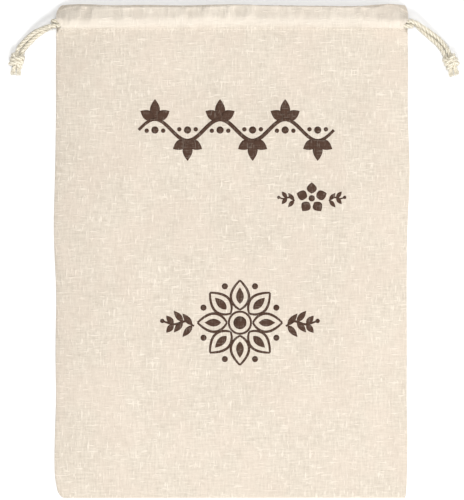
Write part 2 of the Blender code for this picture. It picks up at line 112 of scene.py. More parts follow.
# How far the front's top fold is drawn back from the one behind it
FRONT_DRAWN = table(
    "x back",
    (-150.0, 5.0), (-147.0, 3.8), (-143.0, 1.9), (-139.0, 1.4), (-124.0, 1.6), (-113.0, 1.4),
    (-108.5, 0.4), (-103.0, 1.7), (-80.0, 2.0), (-50.0, 1.8), (-20.0, 2.0), (-5.0, 1.5),
    (4.0, 0.8), (20.0, 0.7), (29.0, 1.0), (60.0, 1.2), (88.0, 1.4), (104.0, 1.2),
    (109.0, 0.4), (115.0, 1.7), (127.0, 1.9), (133.0, 0.4), (141.0, 0.5), (145.0, 2.4),
    (150.0, 5.0))

# Where the middle of the cord pair lies in the casing
CORD_LANE = table(
    "x y",
    (-150.0, 194.0), (-110.0, 194.2), (-57.0, 195.2), (-1.0, 196.1), (58.0, 194.6),
    (126.0, 193.5), (150.0, 193.6))

# Soft upright ridges where the drawn cloth puckers, on the front casing and just below it
PUCKERS = table(
    "x height width reach",
    (-129.0, 0.7, 3.4, 10.0), (-117.5, 0.5, 3.0, 6.0), (-40.0, 0.7, 3.6, 14.0),
    (-22.0, 0.8, 3.8, 9.0), (-2.5, 0.6, 3.2, 16.0), (16.5, 0.7, 3.6, 8.0),
    (58.0, 0.7, 4.0, 12.0), (112.0, 0.9, 4.4, 10.0))

# Broad swells and hollows of the front
SWELLS = table(
    "x y height radius_x radius_y",
    (-82.0, 104.0, 0.6, 40.0, 70.0), (72.0, 58.0, -0.3, 46.0, 60.0),
    (-52.0, -64.0, -0.6, 48.0, 60.0), (84.0, -96.0, 0.8, 40.0, 58.0),
    (-6.0, -140.0, 0.5, 50.0, 40.0))

# Soft creases of the front: both ends, height above or below the cloth, and half width
CREASE_COLUMNS = "x0 y0 x1 y1 height width"
CREASES = table(
    CREASE_COLUMNS,
    (-138.0, 168.0, -112.0, 96.0, 0.22, 4.0), (-104.0, 176.0, -96.0, 120.0, -0.18, 5.0),
    (62.0, 178.0, 70.0, 132.0, 0.18, 4.5), (124.0, 174.0, 132.0, 60.0, -0.2, 5.0),
    (2.0, -112.0, 6.0, -150.0, 0.2, 4.0), (-128.0, -150.0, -128.0, -206.0, -0.16, 2.4),
    (112.0, -160.0, 124.0, -204.0, 0.2, 4.0), (-60.0, -182.0, 40.0, -190.0, 0.14, 5.0))

# Gathers of the front casing, proud or sunk
GATHERS = table(
    CREASE_COLUMNS,
    (-129.5, 211.0, -130.0, 195.0, 0.8, 2.0), (-125.5, 211.0, -124.5, 196.0, -0.7, 2.2),
    (-118.5, 210.0, -117.5, 196.0, 0.7, 2.2), (-90.0, 210.0, -85.0, 199.0, -0.6, 3.4),
    (-41.0, 211.0, -40.0, 194.0, 0.9, 2.2), (-36.0, 211.0, -37.0, 196.0, -0.8, 2.4),
    (-24.0, 211.0, -22.0, 195.0, 0.8, 2.4), (-3.0, 211.0, -2.0, 195.0, 0.8, 2.2),
    (2.0, 210.0, 2.0, 197.0, -0.7, 2.4), (16.5, 211.0, 17.5, 195.0, 0.8, 2.2),
    (57.0, 211.0, 59.5, 195.0, 0.8, 2.4), (62.5, 211.0, 63.5, 197.0, -0.7, 2.4),
    (85.0, 210.0, 80.0, 198.0, 0.6, 3.4), (108.0, 211.0, 109.0, 195.0, 0.9, 2.4),
    (113.0, 211.0, 113.5, 196.0, -0.8, 2.4), (118.5, 210.0, 117.5, 197.0, 0.7, 2.4))

# Gentle unevenness of washed linen
WAVES = table(
    "height length_x length_y offset",
    (0.20, 26.0, 38.0, 3.0), (0.09, 10.0, 14.0, 11.0), (0.035, 3.4, 5.0, 23.0))

# The casing's hollow: stations up one wall, with the hollow's share of its full height
STATIONS = table(
    "part share height",
    ("below", 0.55, 0.46), ("over", -1.0, FULL_SHARE), ("over", -0.5, 1.0), ("over", 0.5, 1.0),
    ("over", 1.0, FULL_SHARE), ("above", 0.25, 0.62), ("above", 0.58, 0.34),
    ("above", 0.94, 0.12))

# The free stretch of each cord, from its slit to its knot, with the heights of its strands
ROUTE_COLUMNS = "x y spread front back"
LEFT_ROUTE = table(
    ROUTE_COLUMNS,
    (-153.5, 191.4, 0.15, 9.5, 3.1), (-159.1, 189.2, 0.8, 7.7, 2.6),
    (-166.7, 185.1, 1.6, 4.8, 2.1), (-174.0, 178.6, 2.0, 2.6, 2.1),
    (-178.6, 173.4, 2.0, 2.8, 2.6))
RIGHT_ROUTE = table(
    ROUTE_COLUMNS,
    (152.6, 195.4, 0.0, 9.6, 3.1), (156.4, 194.0, 0.2, 8.9, 2.9), (160.4, 191.0, 0.8, 7.3, 2.5),
    (167.2, 185.8, 1.6, 4.8, 2.1), (175.4, 179.2, 2.0, 2.6, 2.1), (180.6, 173.2, 2.0, 2.8, 2.6))
BIGHT_REACH, BIGHT_STEPS = 2.7, 8
FREE_STEP, HELD_STEP, KNOT_STEP = 0.45, 1.3, 0.5
CURVE_STEPS = 24
HELD_POINTS = 40

# Each knot: its middle, the way the cord goes into it and the way its tails point
LEFT_KNOT, RIGHT_KNOT = table(
    "x y into_x into_y tail_x tail_y",
    (-182.9, 162.3, -0.31, -0.95, -0.10, -1.0), (186.6, 161.4, 0.45, -0.89, 0.27, -0.96))
KNOT_HEIGHT = 5.1
STRAND_OFFSET = 2.0
STUB_HEIGHT, STUB_BACK = 3.6, 7.4
ENTRY_STRAIGHT = 2.5
PAIR_OFFSET = 1.75

# The way of one cord through its knot: across it, back towards the bag and up from its
# middle; beside and apart part it from the other cord there, in pair offsets
KNOT_TURNS = table(
    "across back up beside apart",
    (0.0, 5.6, -1.5, 1.1, 0.0), (0.7, 4.1, -1.7, 0.7, 0.2), (3.2, 2.9, -1.6, 0.0, 0.8),
    (4.5, 2.2, 0.4, 0.0, 1.0), (3.0, 1.4, 2.7, 0.0, 1.0), (0.0, 0.0, 3.7, 0.0, 1.0),
    (-3.0, -1.4, 2.7, 0.0, 1.0), (-4.5, -2.2, 0.2, 0.0, 1.0), (-3.0, -2.0, -2.2, 0.0, 0.9),
    (0.0, -1.7, -3.0, 0.0, 0.8), (3.0, -2.0, -2.2, 0.0, 0.9), (4.5, -2.2, 0.2, 0.0, 1.0),
    (3.0, -1.4, 2.1, 0.0, 1.0), (0.0, 0.0, 1.5, 0.0, 1.0), (-3.0, 1.4, 2.1, 0.0, 1.0),
    (-4.5, 2.2, 0.2, 0.0, 1.0), (-3.1, 1.3, -2.0, 0.0, 0.7), (-1.0, -1.0, -2.5, 0.4, 0.3))
TAIL_ROUTE = table(
    "along beside height",
    (3.6, 0.75, 2.9), (5.8, 1.05, 2.3), (7.6, 1.2, 2.2))

# The yarns that stand out of each tail's end
YARNS = 42
YARN_SEEDS = ((-1, 5), (1, 8))
YARN_LENGTH, YARN_SHORTEST = 5.3, 0.45
YARN_RADIUS, YARN_WIDTHS = 0.26, (0.7, 1.15)
YARN_SIDES, YARN_POINTS = 5, 8
YARN_ROOT_RING, YARN_TIP_RING = 1.25, 2.3
YARN_ROOT_DEPTH = 1.6
YARN_SPLAY, YARN_STRAY = 0.5, 0.5
YARN_WAVE, YARN_WAVES = 0.35, 2.4
YARN_DROOP, YARN_LOWEST = 0.9, 0.3
YARN_WRAP, YARN_CROWN = 0.12, 0.75
TIP_TAPER = 0.65
GOLDEN_TURN = 0.382

# Fine fibres on the free cords and the knots, in fibres to the millimetre
FUZZ_DENSITY, KNOT_FUZZ_DENSITY = 15.0, 4.0
FUZZ_SEED, FUZZ_SIDES = 31, 3
FUZZ_RADIUS, FUZZ_ROOT_DEPTH = 0.07, 0.25
FUZZ_OUT, FUZZ_ALONG = (0.35, 1.25), (0.4, 1.9)
FUZZ_BEND = 0.2

# Section of a cord of three strands
STRANDS = 3
STRAND_RADIUS, STRAND_CENTRE = 1.10, 0.80
SIDES_PER_STRAND, HELD_SIDES_PER_STRAND = 10, 5

# Sheet rows and columns
SHEET = 0.8
COLUMN_STEP, BACK_COLUMN_STEP = 1.5, 3.4
EDGE_COLUMNS = [0.0, 0.15, 0.4, 0.8, 1.4, 2.2, 3.2, 4.5, 6.0]
BODY_STEP, BACK_BODY_STEP = 3.0, 4.5
PUCKER_STEP, PUCKER_START = 1.5, 148.0
OVER_ROWS, NOSE_ROWS, UNDER_ROWS = 24, 7, 12
HEM_DEPTH, HEM_CLEARANCE = 3.0, 0.05
BODY_ROW = 20

# Turned seam at the sides and the bottom, and the slits where the cords come out
SEAM_HEIGHT = 1.15
SEAM_ROUND, SEAM_ROUND_SHARE = 0.8, 0.45
SEAM_ROLL, SEAM_ROLL_POWER = 5.0, 2.4
SEAM_LINE = 0.05
SLIT_START, SLIT_END = 12.0, 2.0
NOTCH_DEPTH, NOTCH_WIDTH, NOTCH_FADE = 4.2, 3.8, 6.5
NOTCH_BELOW = 3.0
NOTCH_UNDER_SHARE, NOTCH_BACK_SHARE = 0.6, 0.55
GROOVE_DEPTH, GROOVE_WIDTH = 0.28, 1.1

# Stitching
STITCH_SEED = 12
STITCH_PITCH, STITCH_LENGTH = 3.0, 2.3
STITCH_RADIUS, STITCH_FLATNESS, STITCH_SUNK = 0.32, 0.8, 0.35
STITCH_INSET, STITCH_ROW, STITCH_STRAY = 4.0, 1.3, 0.08
TACK_LENGTH, TACK_INSET, TACK_ROWS = 6.0, 2.0, (-0.55, 0.55)
TACK_START, TACK_STRAY = 0.8, 0.15
TACK_STITCH_SHARE, TACK_PITCH_SHARE = 0.8, 0.85
SLIT_STITCH_INSET, SLIT_STITCH_START, SLIT_STITCH_END = 2.6, 3.4, 6.0


def ease(share):
    share = min(max(share, 0.0), 1.0)
    return share * share * (3 - 2 * share)


def rise(distance, span, power):
    """0 at an edge, 1 at the span from it, steepest at the edge."""
    return 1 - (1 - min(max(distance / span, 0.0), 1.0)) ** power


def read(rows, key, column, at):
    """A smooth curve through the rows of a table."""
    return read_values([getattr(r, key) for r in rows], [getattr(r, column) for r in rows], at)


def read_values(keys, values, at):
    at = min(max(at, keys[0]), keys[-1])
    i = max(k for k in range(len(keys) - 1) if keys[k] <= at)

    def slope(k):
        low, high = max(k - 1, 0), min(k + 1, len(keys) - 1)
        return (values[high] - values[low]) / (keys[high] - keys[low])

    span = keys[i + 1] - keys[i]
    t = (at - keys[i]) / span
    return (values[i] * (1 + 2 * t) * (1 - t) ** 2 + slope(i) * span * t * (1 - t) ** 2
            + values[i + 1] * t * t * (3 - 2 * t) + slope(i + 1) * span * t * t * (t - 1))


def side_edges(y):
    return read(SIDES, "y", "left", y), read(SIDES, "y", "right", y)


def across(share, y):
    left, right = side_edges(y)
    return left + share * (right - left)


def edge_distance(share, y):
    left, right = side_edges(y)
    return min(share, 1 - share) * (right - left)


def pucker(x, y):
    total = 0.0
    for ridge in PUCKERS:
        side = math.exp(-((x - ridge.x) / ridge.width) ** 2)
        below = ease((y - (STITCH_Y - ridge.reach)) / ridge.reach)
        total += ridge.height * side * below
    return total


def casing_under(share, along, hollow):
    """Underside of the front casing: on the back one at the sides, ajar in the middle."""
    stacked = min(hollow / FULL_SHARE, TUNNEL)
    at_side = 2 * CLOTH + 2 * stacked + GAP
    mouth = CASING_THICKNESS + MOUTH_GAP
    hang = HANG_SHARE * (2 * TUNNEL - 2 * hollow)
    in_middle = mouth + hang - MOUTH_DROOP * ease(along / CASING_DEPTH)
    lift = rise(edge_distance(share, STITCH_Y + along), MOUTH_RISE, MOUTH_POWER)
    return at_side + lift * (in_middle - at_side)


def front_under(share, y):
    """Underside of the front cloth between the bottom seam and the casing."""
    x = across(share, y)
    inward = edge_distance(share, y)
    loft = rise(inward, SIDE_RISE, SIDE_POWER) * rise(y + HALF_LENGTH, BOTTOM_RISE, BOTTOM_POWER)
    uneven = sum(s.height * math.exp(-((x - s.x) / s.radius_x) ** 2 - ((y - s.y) / s.radius_y) ** 2)
                 for s in SWELLS)
    body = CLOTH + GAP + (LOFT + uneven) * loft
    foot = casing_under(share, 0.0, 0.0) + CLOTH
    reach = SLIT_BLEND + (CASING_BLEND - SLIT_BLEND) * ease(inward / SLIT_WIDTH)
    near = ease((y - (STITCH_Y - reach)) / reach)
    return body + near * (foot - body) + pucker(x, y) * ease(inward / EDGE_FADE)


def casing_profile(share, of_front):
    """Distance above the stitch line and half height of the hollow, from foot to fold."""
    x = across(share, STITCH_Y + CASING_DEPTH / 2)
    lane = read(CORD_LANE, "x", "y", x) - STITCH_Y
    top = CASING_DEPTH + read(TOP_FOLD, "x", "out", x) - HOLLOW_TOP
    if of_front:
        top -= read(FRONT_DRAWN, "x", "back", x)
    above = top - lane - OVER_CORDS
    alongs, halves = [0.0], [0.0]
    for s in STATIONS:
        alongs.append({"below": (lane - OVER_CORDS) * s.share,
                       "over": lane + OVER_CORDS * s.share,
                       "above": lane + OVER_CORDS + above * s.share}[s.part])
        halves.append(TUNNEL * s.height)
    return alongs + [top], halves + [halves[-1]], top


def front_casing_low(share, along, hollow):
    """Underside of the front casing, with puckers that fade where the cords fill it."""
    filled = (hollow / TUNNEL - RIPPLE_FADE) / (1 - RIPPLE_FADE)
    ripple = pucker(across(share, STITCH_Y + along), STITCH_Y + along) * (1 - ease(filled))
    fade = ease(edge_distance(share, STITCH_Y) / EDGE_FADE)
    return casing_under(share, along, hollow) + fade * ripple


def back_casing_low(share, along, hollow):
    """Underside of the back casing, flat on the surface all over."""
    return 0.0


def crease(x, y, creases):
    """Soft creases, each fading out at both of its ends."""
    total = 0.0
    for c in creases:
        run_x, run_y = c.x1 - c.x0, c.y1 - c.y0
        length = math.hypot(run_x, run_y)
        along = ((x - c.x0) * run_x + (y - c.y0) * run_y) / length ** 2
        if 0 < along < 1:
            off = ((x - c.x0) * run_y - (y - c.y0) * run_x) / length
            total += c.height * math.sin(math.pi * along) * math.exp(-(off / c.width) ** 2)
    return total


def unevenness(x, y):
    """Small waves of washed linen."""
    return sum(w.height * noise.noise(Vector((x / w.length_x, y / w.length_y, w.offset)))
               for w in WAVES)


def seam_curl(share, y):
    """0 on the turned seam, 1 where the cloth is clear of it, and none at the slits."""
    def roll(distance):
        tight = math.sqrt(1 - (1 - min(distance / SEAM_ROUND, 1.0)) ** 2)
        wide = rise(distance, SEAM_ROLL, SEAM_ROLL_POWER)
        return SEAM_ROUND_SHARE * tight + (1 - SEAM_ROUND_SHARE) * wide

    open_side = ease((y - (STITCH_Y - SLIT_START)) / (SLIT_START - SLIT_END))
    side = roll(edge_distance(share, y))
    side += (1 - side) * open_side
    return side * roll(y + HALF_LENGTH)


def groove(y):
    """Depth of the groove that the row of stitches draws in the cloth."""
    return GROOVE_DEPTH * math.exp(-((y - STITCH_Y - STITCH_ROW) / GROOVE_WIDTH) ** 2)


def front_body_top(share, y):
    """Outer face of the front cloth below the casing."""
    x = across(share, y)
    calm = ease(min(edge_distance(share, y), y + HALF_LENGTH) / EDGE_FADE)
    top = front_under(share, y) + CLOTH - groove(y)
    top += calm * (crease(x, y, CREASES) + unevenness(x, y))
    low = SEAM_HEIGHT + SEAM_LINE
    return low + (top - low) * seam_curl(share, y)


def notch(share, y):
    """How far the casing's upper layer is drawn back at a slit, most just below the cord."""
    lane = read(CORD_LANE, "x", "y", across(share, y))
    depth = NOTCH_DEPTH * math.exp(-((y - lane + NOTCH_BELOW) / NOTCH_WIDTH) ** 2)
    inward = math.exp(-(edge_distance(share, y) / NOTCH_FADE) ** 2)
    return (1 if share < 0.5 else -1) * depth * inward


def front_row(share, kind, at, profile):
    """One point of the front sheet's outer face."""
    alongs, halves, top = profile
    if kind == "body":
        return across(share, at), at, front_body_top(share, at)
    if kind == "hem":
        y = STITCH_Y - at * HEM_DEPTH
        return across(share, y), y, front_under(share, y) - SHEET - HEM_CLEARANCE
    along = top if kind == "nose" else at * top
    half = read_values(alongs, halves, along)
    low = front_casing_low(share, along, half)
    high = low + 2 * CLOTH + 2 * half
    if kind == "nose":
        y = STITCH_Y + top + HOLLOW_TOP * math.sin(math.pi * at)
        return across(share, y), y, (low + high) / 2 + (high - low) / 2 * math.cos(math.pi * at)
    y = STITCH_Y + along
    x = across(share, y)
    if kind == "under":
        return x + NOTCH_UNDER_SHARE * notch(share, y), y, low
    calm = ease(edge_distance(share, y) / EDGE_FADE)
    high = high - groove(y) + calm * (unevenness(x, y) + crease(x, y, GATHERS))
    return x + notch(share, y), y, high


def back_row(share, kind, at, profile):
    """One point of the back sheet's outer face, from the underside round to the mouth."""
    alongs, halves, top = profile
    if kind == "body":
        return across(share, at), at, (SEAM_HEIGHT - SEAM_LINE) * (1 - seam_curl(share, at))
    if kind == "hem":
        y = STITCH_Y - at * HEM_DEPTH
        return across(share, y), y, 2 * SHEET + HEM_CLEARANCE
    if kind == "over":
        y = STITCH_Y + at * top
        return across(share, y), y, 0.0
    along = top if kind == "nose" else at * top
    high = 2 * CLOTH + 2 * read_values(alongs, halves, along)
    if kind == "nose":
        y = STITCH_Y + top + HOLLOW_TOP * math.sin(math.pi * at)
        return across(share, y), y, high / 2 - high / 2 * math.cos(math.pi * at)
    y = STITCH_Y + along
    return across(share, y) + NOTCH_BACK_SHARE * notch(share, y), y, high


def front_at(x, y):
    """Outer face of the front cloth or its casing."""
    left, right = side_edges(y)
    share = (x - left) / (right - left)
    if y <= STITCH_Y:
        return front_body_top(share, y)
    profile = casing_profile(share, True)
    return front_row(share, "over", (y - STITCH_Y) / profile[2], profile)[2]


def sheet_rows(body_step):
    """The rows of a sheet: which part of it each is on, and where."""
    rows = [("body", -HALF_LENGTH + d) for d in EDGE_COLUMNS]
    y = -HALF_LENGTH + EDGE_COLUMNS[-1] + body_step / 2
    while y < PUCKER_START:
        rows.append(("body", y))
        y += body_step
    step = PUCKER_STEP * body_step / BODY_STEP
    while y < STITCH_Y - step / 2:
        rows.append(("body", y))
        y += step
    rows += [("over", i / OVER_ROWS) for i in range(OVER_ROWS)]
    rows += [("nose", i / NOSE_ROWS) for i in range(NOSE_ROWS + 1)]
    rows += [("under", 1 - i / UNDER_ROWS) for i in range(1, UNDER_ROWS + 1)]
    return rows + [("hem", 0.5), ("hem", 1.0)]


def sheet_columns(step):
    """Shares of the width, close together at both edges."""
    inner = EDGE_COLUMNS[-1]
    span = MEAN_WIDTH - 2 * inner
    count = round(span / step)
    middle = [inner + span * i / count for i in range(1, count)]
    return ([d / MEAN_WIDTH for d in EDGE_COLUMNS + middle]
            + [1 - d / MEAN_WIDTH for d in reversed(EDGE_COLUMNS)])


def finish_mesh(name, bm, surface, smooth=True):
    """Makes the piece's object and lets it ride on the bag."""
    mesh = bpy.data.meshes.new(name)
    bm.to_mesh(mesh)
    bm.free()
    mesh.materials.append(surface)
    if smooth:
        mesh.shade_smooth()
    made = bpy.data.objects.new(name, mesh)
    bpy.context.scene.collection.objects.link(made)
    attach(made, "root")
    return made


def thicken(piece, thickness):
    """Gives a piece its thickness, inwards from its outer face."""
    modifier = piece.modifiers.new("thickness", "SOLIDIFY")
    modifier.thickness = thickness * MM
    modifier.offset = -1.0


def grid_cells(bm, columns, rows):
    """A grid's vertices with the number of their column and row."""
    made = bmesh.ops.create_grid(bm, x_segments=columns, y_segments=rows, size=1.0)
    return [(v, round((v.co.x + 1) / 2 * columns), round((v.co.y + 1) / 2 * rows))
            for v in made["verts"]]


def build_sheet(name, row_at, body_step, column_step, facing_up, surface):
    """A panel of cloth: a grid laid along its folds, with its thickness inwards."""
    rows, columns = sheet_rows(body_step), sheet_columns(column_step)
    bm = bmesh.new()
    layer = bm.loops.layers.uv.new("cloth")
    places, run, row_of = {}, {}, {}
    for i, share in enumerate(columns):
        profile = casing_profile(share, facing_up)
        walked = -HALF_LENGTH
        for j, (kind, at) in enumerate(rows):
            places[i, j] = Vector(row_at(share, kind, at, profile))
            if j:
                walked += (places[i, j] - places[i, j - 1]).length
            run[i, j] = walked
    for v, i, j in grid_cells(bm, len(columns) - 1, len(rows) - 1):
        v.co = places[i, j] * MM
        row_of[v] = j
        for loop in v.link_loops:
            loop[layer].uv = (places[i, j].x * MM, run[i, j] * MM)
    bm.normal_update()
    flat = next(f for f in bm.faces if {row_of[v] for v in f.verts} == {BODY_ROW, BODY_ROW + 1})
    if (flat.normal.z > 0) != facing_up:
        bmesh.ops.reverse_faces(bm, faces=bm.faces)
    made = finish_mesh(name, bm, surface)
    thicken(made, SHEET)
    return made


def route_length(places):
    return sum((b - a).length for a, b in zip(places, places[1:]))


def smooth_route(places, step):
    """Points at even steps on a smooth curve through the route's own points."""
    places = [Vector(p) for p in places]
    ends = [places[0] * 2 - places[1]] + places + [places[-1] * 2 - places[-2]]
    fine = []
    for a, b, c, d in zip(ends, ends[1:], ends[2:], ends[3:]):
        for i in range(CURVE_STEPS):
            t = i / CURVE_STEPS
            fine.append(0.5 * (2 * b + (c - a) * t + (2 * a - 5 * b + 4 * c - d) * t ** 2
                               + (3 * b - a - 3 * c + d) * t ** 3))
    fine.append(places[-1])
    walked = [0.0]
    for a, b in zip(fine, fine[1:]):
        walked.append(walked[-1] + (b - a).length)
    count = max(round(walked[-1] / step), 1)
    found, k = [], 0
    for i in range(count + 1):
        goal = walked[-1] * i / count
        while k < len(walked) - 2 and walked[k + 1] < goal:
            k += 1
        share = (goal - walked[k]) / (walked[k + 1] - walked[k])
        found.append(fine[k].lerp(fine[k + 1], share))
    return found


def held_stretch(side, casing_low):
    """The cord's way through a casing, from left to right, beside the other cord."""
    found = []
    for i in range(HELD_POINTS + 1):
        share = i / HELD_POINTS
        x = across(share, STITCH_Y + CASING_DEPTH / 2)
        lane = read(CORD_LANE, "x", "y", x)
        low = casing_low(share, lane - STITCH_Y, TUNNEL)
        found.append(Vector((x, lane + side * CORD_SPACING / 2, low + CLOTH + TUNNEL)))
    return found


def bight(front_end, back_end, outward):
    """The short turn where a cord leaves one casing and goes into the other."""
    middle = (front_end + back_end) / 2
    reach = (front_end.z - back_end.z) / 2
    found = []
    for i in range(1, BIGHT_STEPS):
        angle = math.pi * i / BIGHT_STEPS
        out = GAP + BIGHT_REACH * math.sin(angle)
        found.append(middle + Vector((outward * out, 0.0, reach * math.cos(angle))))
    return found


def level_axes(x, y):
    """A level direction and the one to its left."""
    way = Vector((x, y, 0)).normalized()
    return way, Vector((-way.y, way.x, 0))


def entry(knot, side):
    """Where a strand meets the knot."""
    into, beside = level_axes(knot.into_x, knot.into_y)
    place = Vector((knot.x, knot.y, STUB_HEIGHT)) - into * (STUB_BACK + GAP)
    return place + beside * side * STRAND_OFFSET, into


def free_strand(start, route, knot, side, column):
    """One strand from the slit to its knot, on its own side of the pair."""
    middle = [start] + [Vector((s.x, s.y, 0)) for s in route]
    end, into = entry(knot, side)
    places = [start]
    for i, s in enumerate(route, 1):
        ahead = middle[i + 1] if i + 1 < len(middle) else end
        _, beside = level_axes(*(ahead - middle[i - 1]).xy)
        places.append(Vector((s.x, s.y, getattr(s, column))) + beside * side * s.spread)
    return places + [end - into * ENTRY_STRAIGHT, end]


def knot_strand(knot, side):
    """One cord's way from the knot's entry, round it and out into its tail."""
    into, beside = level_axes(knot.into_x, knot.into_y)
    middle = Vector((knot.x, knot.y, KNOT_HEIGHT))
    places = [entry(knot, side)[0]]
    for t in KNOT_TURNS:
        wide = t.across + side * t.beside * PAIR_OFFSET
        back = t.back + side * t.apart * PAIR_OFFSET
        places.append(middle + beside * wide - into * back + UP * t.up)
    way, away = level_axes(knot.tail_x, knot.tail_y)
    foot = Vector((knot.x, knot.y, 0))
    for t in TAIL_ROUTE:
        places.append(foot + way * t.along + away * side * t.beside * PAIR_OFFSET + UP * t.height)
    return places


def cord_route(side, route, knot):
    """The cord from tail to tail, cut where it passes the knot and the slits."""
    front = held_stretch(side, front_casing_low)
    back = held_stretch(side, back_casing_low)
    if side > 0:
        front.reverse()
        back.reverse()
    turn = bight(front[-1], back[-1], -side)
    stretches = [
        smooth_route(knot_strand(knot, side), KNOT_STEP)[::-1],
        smooth_route(free_strand(front[0], route, knot, side, "front"), FREE_STEP)[::-1],
        smooth_route(front + turn + back[::-1], HELD_STEP),
        smooth_route(free_strand(back[0], route, knot, -side, "back"), FREE_STEP),
        smooth_route(knot_strand(knot, -side), KNOT_STEP),
    ]
    places, cuts = [stretches[0][0]], [0]
    for stretch in stretches:
        places += stretch[1:]
        cuts.append(len(places) - 1)
    return places, cuts


def carried_frames(places):
    """A steady pair of side directions along a route, and the length walked."""
    last = len(places) - 1
    ways = [(places[min(i + 1, last)] - places[max(i - 1, 0)]).normalized()
            for i in range(last + 1)]
    normal = ways[0].orthogonal().normalized()
    frames, walked = [], 0.0
    for i, way in enumerate(ways):
        normal = (normal - way * normal.dot(way)).normalized()
        if i:
            walked += (places[i] - places[i - 1]).length
        frames.append((normal.copy(), way.cross(normal), walked))
    return frames


def strand_reach(angle):
    """Distance from a cord's middle to the surface of its nearest strand."""
    spread = 2 * math.pi / STRANDS
    off = (angle + spread / 2) % spread - spread / 2
    return (STRAND_CENTRE * math.cos(off)
            + math.sqrt(STRAND_RADIUS ** 2 - (STRAND_CENTRE * math.sin(off)) ** 2))


LOBE_HIGH = strand_reach(0.0)
LOBE_LOW = strand_reach(math.pi / STRANDS)


def add_tube(bm, places, frames, sides, ring_at):
    """A tube along a route; ring_at gives a point's angle, reach, crown and place around."""
    layer = bm.loops.layers.uv.get("cord") or bm.loops.layers.uv.new("cord")
    crown = bm.verts.layers.float.get("crown") or bm.verts.layers.float.new("crown")
    for v, i, j in grid_cells(bm, sides, len(places) - 1):
        normal, side, walked = frames[j]
        angle, reach, v[crown], around = ring_at(i, j, walked)
        v.co = (places[j] + reach * (normal * math.cos(angle) + side * math.sin(angle))) * MM
        for loop in v.link_loops:
            loop[layer].uv = (around, walked * MM)


def add_cord(bm, places, frames, per_strand):
    """Lays a twisted three-strand cord along a stretch of its route."""
    sides = per_strand * STRANDS

    def ring_at(i, j, walked):
        angle = 2 * math.pi * (i % sides) / sides + math.pi / STRANDS
        reach = strand_reach(angle)
        # The crown, none between the strands and 1 on their tops, sets the cotton's painted shade
        return (angle + 2 * math.pi * walked / CORD_LAY, reach,
                (reach - LOBE_LOW) / (LOBE_HIGH - LOBE_LOW), i / sides + walked / CORD_LAY)

    add_tube(bm, places, frames, sides, ring_at)


def add_yarn(bm, places, radius, sides):
    """A thin yarn that tapers to its tip."""
    def ring_at(i, j, walked):
        size = radius * (1 - TIP_TAPER * (j / (len(places) - 1)) ** 2)
        return 2 * math.pi * (i % sides) / sides, size, YARN_CROWN, i / sides * YARN_WRAP

    add_tube(bm, places, carried_frames(places), sides, ring_at)


def frayed_end(bm, knot, side, seed):
    """Loose yarns at the end of one tail."""
    draw = random.Random(seed)
    way, away = level_axes(knot.tail_x, knot.tail_y)
    last = TAIL_ROUTE[-1]
    tip = (Vector((knot.x, knot.y, last.height)) + way * last.along
           + away * side * last.beside * PAIR_OFFSET)
    for i in range(YARNS):
        angle = 2 * math.pi * (i * GOLDEN_TURN % 1.0)
        ring = math.sqrt((i + 0.5) / YARNS)
        out = away * math.cos(angle) + UP * math.sin(angle)
        length = YARN_LENGTH * draw.uniform(YARN_SHORTEST, 1.0)
        start = tip - way * YARN_ROOT_DEPTH + out * ring * YARN_ROOT_RING
        end = (tip + way * length + out * ring * YARN_TIP_RING
               + away * (side * YARN_SPLAY + draw.uniform(-YARN_STRAY, YARN_STRAY)))
        bend = out * draw.uniform(-1, 1) * YARN_WAVE + away * draw.uniform(-1, 1) * YARN_WAVE
        places = []
        for k in range(YARN_POINTS):
            t = k / (YARN_POINTS - 1)
            p = start.lerp(end, t) + bend * math.sin(YARN_WAVES * math.pi * t) * t
            p.z = max(p.z - YARN_DROOP * t * t, YARN_LOWEST)
            places.append(p)
        add_yarn(bm, places, YARN_RADIUS * draw.uniform(*YARN_WIDTHS), YARN_SIDES)


def add_fuzz(bm, line, frames, density, draw):
    """Short fibres that stand off a cord."""
    for _ in range(round(density * route_length(line))):
        k = draw.randrange(1, len(line) - 1)
        normal, side, _ = frames[k]
        angle = draw.uniform(0.0, 2 * math.pi)
        out = normal * math.cos(angle) + side * math.sin(angle)
        way = (line[k + 1] - line[k - 1]).normalized() * draw.choice((-1, 1))
        root = line[k] + out * (CORD_RADIUS - FUZZ_ROOT_DEPTH)
        tip = root + out * draw.uniform(*FUZZ_OUT) + way * draw.uniform(*FUZZ_ALONG)
        places = [root, root.lerp(tip, 0.5) + out * FUZZ_BEND, tip]
        for p in places:
            p.z = max(p.z, YARN_LOWEST / 2)
        add_yarn(bm, places, FUZZ_RADIUS, FUZZ_SIDES)


def finish_cord(name, bm, surface):
    """Welds a mesh of tubes, closes their ends and makes them a piece of cotton cord."""
    bmesh.ops.remove_doubles(bm, verts=bm.verts, dist=1e-7)
    bmesh.ops.holes_fill(bm, edges=[e for e in bm.edges if e.is_boundary], sides=0)
    bmesh.ops.recalc_face_normals(bm, faces=bm.faces)
    piece = finish_mesh(name, bm, surface)
    return piece


